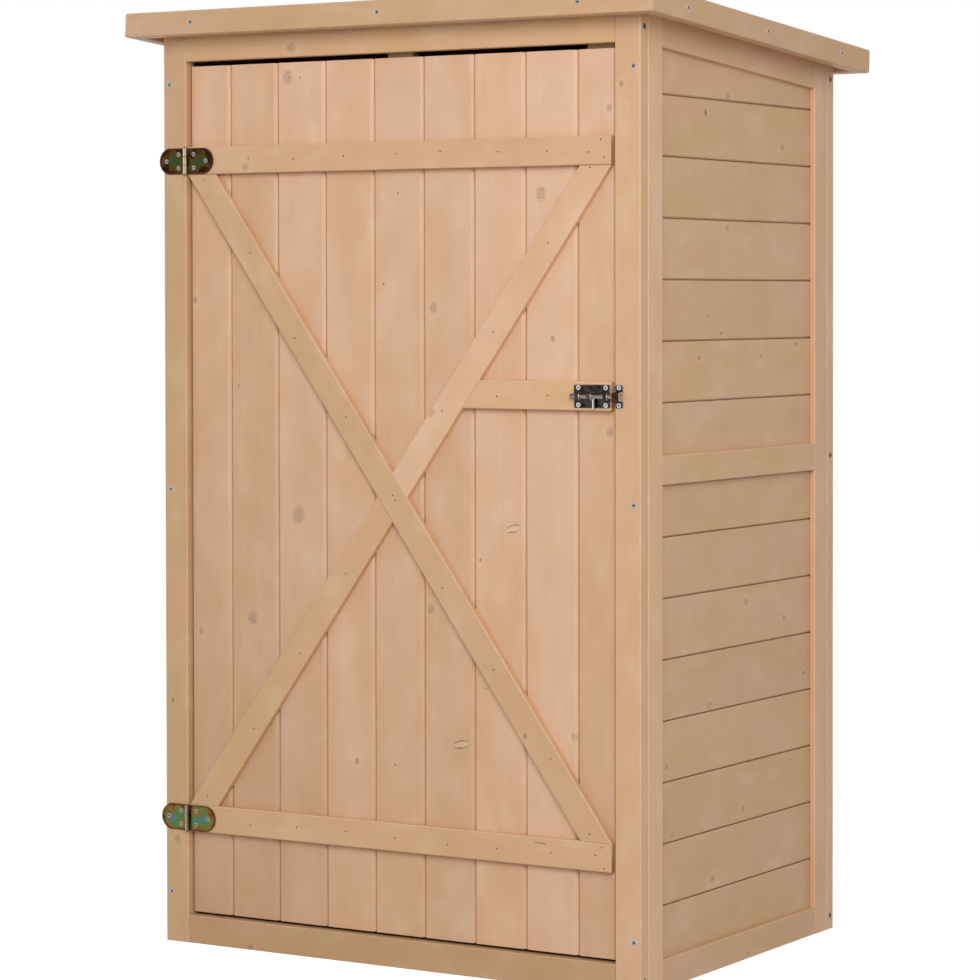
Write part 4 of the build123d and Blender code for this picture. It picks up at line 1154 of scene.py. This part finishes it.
def mineral_felt():
    """Bitumen felt faced with crushed slate: matt grey-green, speckled by grit a millimetre or so across,
    with paler and darker grains and a rough, sandpaper-like relief."""
    slate = linear("565C54")
    pale_grain = linear("7B8078")
    dark_grain = linear("34382F")
    grit = 1.4 * mm
    material, tree = bare_material("mineral_faced_felt")
    place = add(tree, "TexCoord", out="Object")
    edge, shade = add(tree, "TexVoronoi", {"Vector": place, "Scale": 1 / grit}, out=("Distance", "Color"))
    shade = add(tree, "SeparateColor", shade)
    pale = add(tree, "MapRange", shade, 0.7, 1.0)
    dark = add(tree, "MapRange", shade, 0.3, 0.0)
    tone = slate
    for share, colour in ((pale, pale_grain), (dark, dark_grain)):
        tone = add(tree, "Mix", {0: share, 6: tone, 7: colour}, out=2, data_type="RGBA")
    bump = add(tree, "Bump", {"Strength": 0.6, "Distance": 0.5 * mm, "Height": edge})
    shader = add(tree, "BsdfPrincipled", {"Base Color": tone, "Roughness": 0.95, "Normal": bump})
    add(tree, "OutputMaterial", shader, out=())
    return material


def felt_sheet():
    """A grid over the deck, (x, down the slope), lifted by two crossing sine waves a few tenths of a
    millimetre high that die away at the edges, where the bitumen holds it down."""
    held_edge = 30 * mm
    wave = 0.35 * mm
    x = np.linspace(felt_gap - inside_width, inside_width - felt_gap, 120)
    s = np.linspace(felt_gap - inside_length, inside_length - felt_gap, 90)
    x, s = np.meshgrid(x, s, indexing="ij")
    hold = np.clip((inside_width - np.abs(x)) / held_edge, 0, 1)
    hold = hold * np.clip((inside_length - np.abs(s)) / held_edge, 0, 1)
    lift = wave * hold * (np.sin(x * 31 + 2 * np.sin(s * 9)) + np.sin(s * 23 + x * 5)) / 2
    rise = lift - felt_top - wave
    return roof_middle + x[..., None] * X + s[..., None] * down_slope + rise[..., None] * off_roof


sheet = felt_sheet()
rows, columns = sheet.shape[:2]
cell = (np.arange(rows - 1)[:, None] * columns + np.arange(columns - 1)).reshape(-1, 1)
felt_mesh = bpy.data.meshes.new("mineral_felt")
felt_mesh.from_pydata(sheet.reshape(-1, 3).tolist(), [], (cell + [0, columns, columns + 1, 1]).tolist())
felt_mesh.shade_smooth()
felt_mesh.materials.append(mineral_felt())
felt = bpy.data.objects.new("mineral_felt", felt_mesh)
bpy.context.scene.collection.objects.link(felt)
body_of_felt = felt.modifiers.new("felt thickness", "SOLIDIFY")
body_of_felt.thickness = felt_thickness - felt_slack
body_of_felt.offset = -1
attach(felt, "shed")
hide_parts("roof_felt")

# Stage: a pale floor and a white surround; one broad lamp from above the camera, a weak one from the left.
# The floor keeps the shed's shadow.
scene = bpy.context.scene
floor_reach = 6.0
floor_glow = 0.79
ambient = 0.43


def background_rays(tree):
    """1 for the rays that show the background, from the camera, a mirror or glass, and 0 for all others."""
    rays = ("Is Camera Ray", "Is Glossy Ray", "Is Transmission Ray")
    seen, glossy, through = add(tree, "LightPath", out=rays)
    shown = add(tree, "Math", seen, glossy, operation="MAXIMUM")
    return add(tree, "Math", shown, through, operation="MAXIMUM")


floor_mesh = bpy.data.meshes.new("floor")
floor_corners = [(x * floor_reach, y * floor_reach, 0) for x, y in ((-1, -1), (1, -1), (1, 1), (-1, 1))]
floor_mesh.from_pydata(floor_corners, [], [(0, 1, 2, 3)])
floor = bpy.data.objects.new("floor", floor_mesh)
scene.collection.objects.link(floor)
pale_floor, tree = bare_material("pale_floor")
painted = add(tree, "BsdfDiffuse", linear("C8C6C2"))
glow = add(tree, "Math", background_rays(tree), floor_glow, operation="MULTIPLY")
lit = add(tree, "Emission", (1, 1, 1, 1), glow)
both = add(tree, "AddShader", painted, lit)
add(tree, "OutputMaterial", both, out=())
floor_mesh.materials.append(pale_floor)

world = bpy.data.worlds.new("white surround")
scene.world = world
world.use_nodes = True
tree = world.node_tree
tree.nodes.clear()
strength = add(tree, "MapRange", background_rays(tree), 0.0, 1.0, ambient, 1.0)
white = add(tree, "Background", (1, 1, 1, 1), strength)
add(tree, "OutputWorld", white, out=())


def lamp(name, place, aim, size, watts):
    """A square soft lamp that faces a point."""
    light = bpy.data.lights.new(name, "AREA")
    light.size = size
    light.energy = watts
    made = bpy.data.objects.new(name, light)
    scene.collection.objects.link(made)
    made.location = place
    made.rotation_euler = (Vector(place) - Vector(aim)).to_track_quat("Z", "Y").to_euler()


lamp("broad_lamp", place=(2.3, -3.4, 2.2), aim=(0, 0, 0.7), size=2.0, watts=97)
lamp("left_lamp", place=(-3.2, -2.2, 1.8), aim=(0, 0, 0.6), size=2.0, watts=8)

focal_pixels = 3328.98
axis_pixels = (600.0, 369.15)
picture_pixels = 980
view = bpy.data.cameras.new("camera")
view.sensor_width = 36
view.lens = focal_pixels * view.sensor_width / picture_pixels
view.shift_x = 0.5 - axis_pixels[0] / picture_pixels
view.shift_y = axis_pixels[1] / picture_pixels - 0.5
camera = bpy.data.objects.new("camera", view)
scene.collection.objects.link(camera)
camera.location = (2.22041, -3.52589, 0.79935)
camera.rotation_euler = (1.549134, 0.000848, 0.532603)
scene.camera = camera
scene.view_settings.view_transform = "Standard"
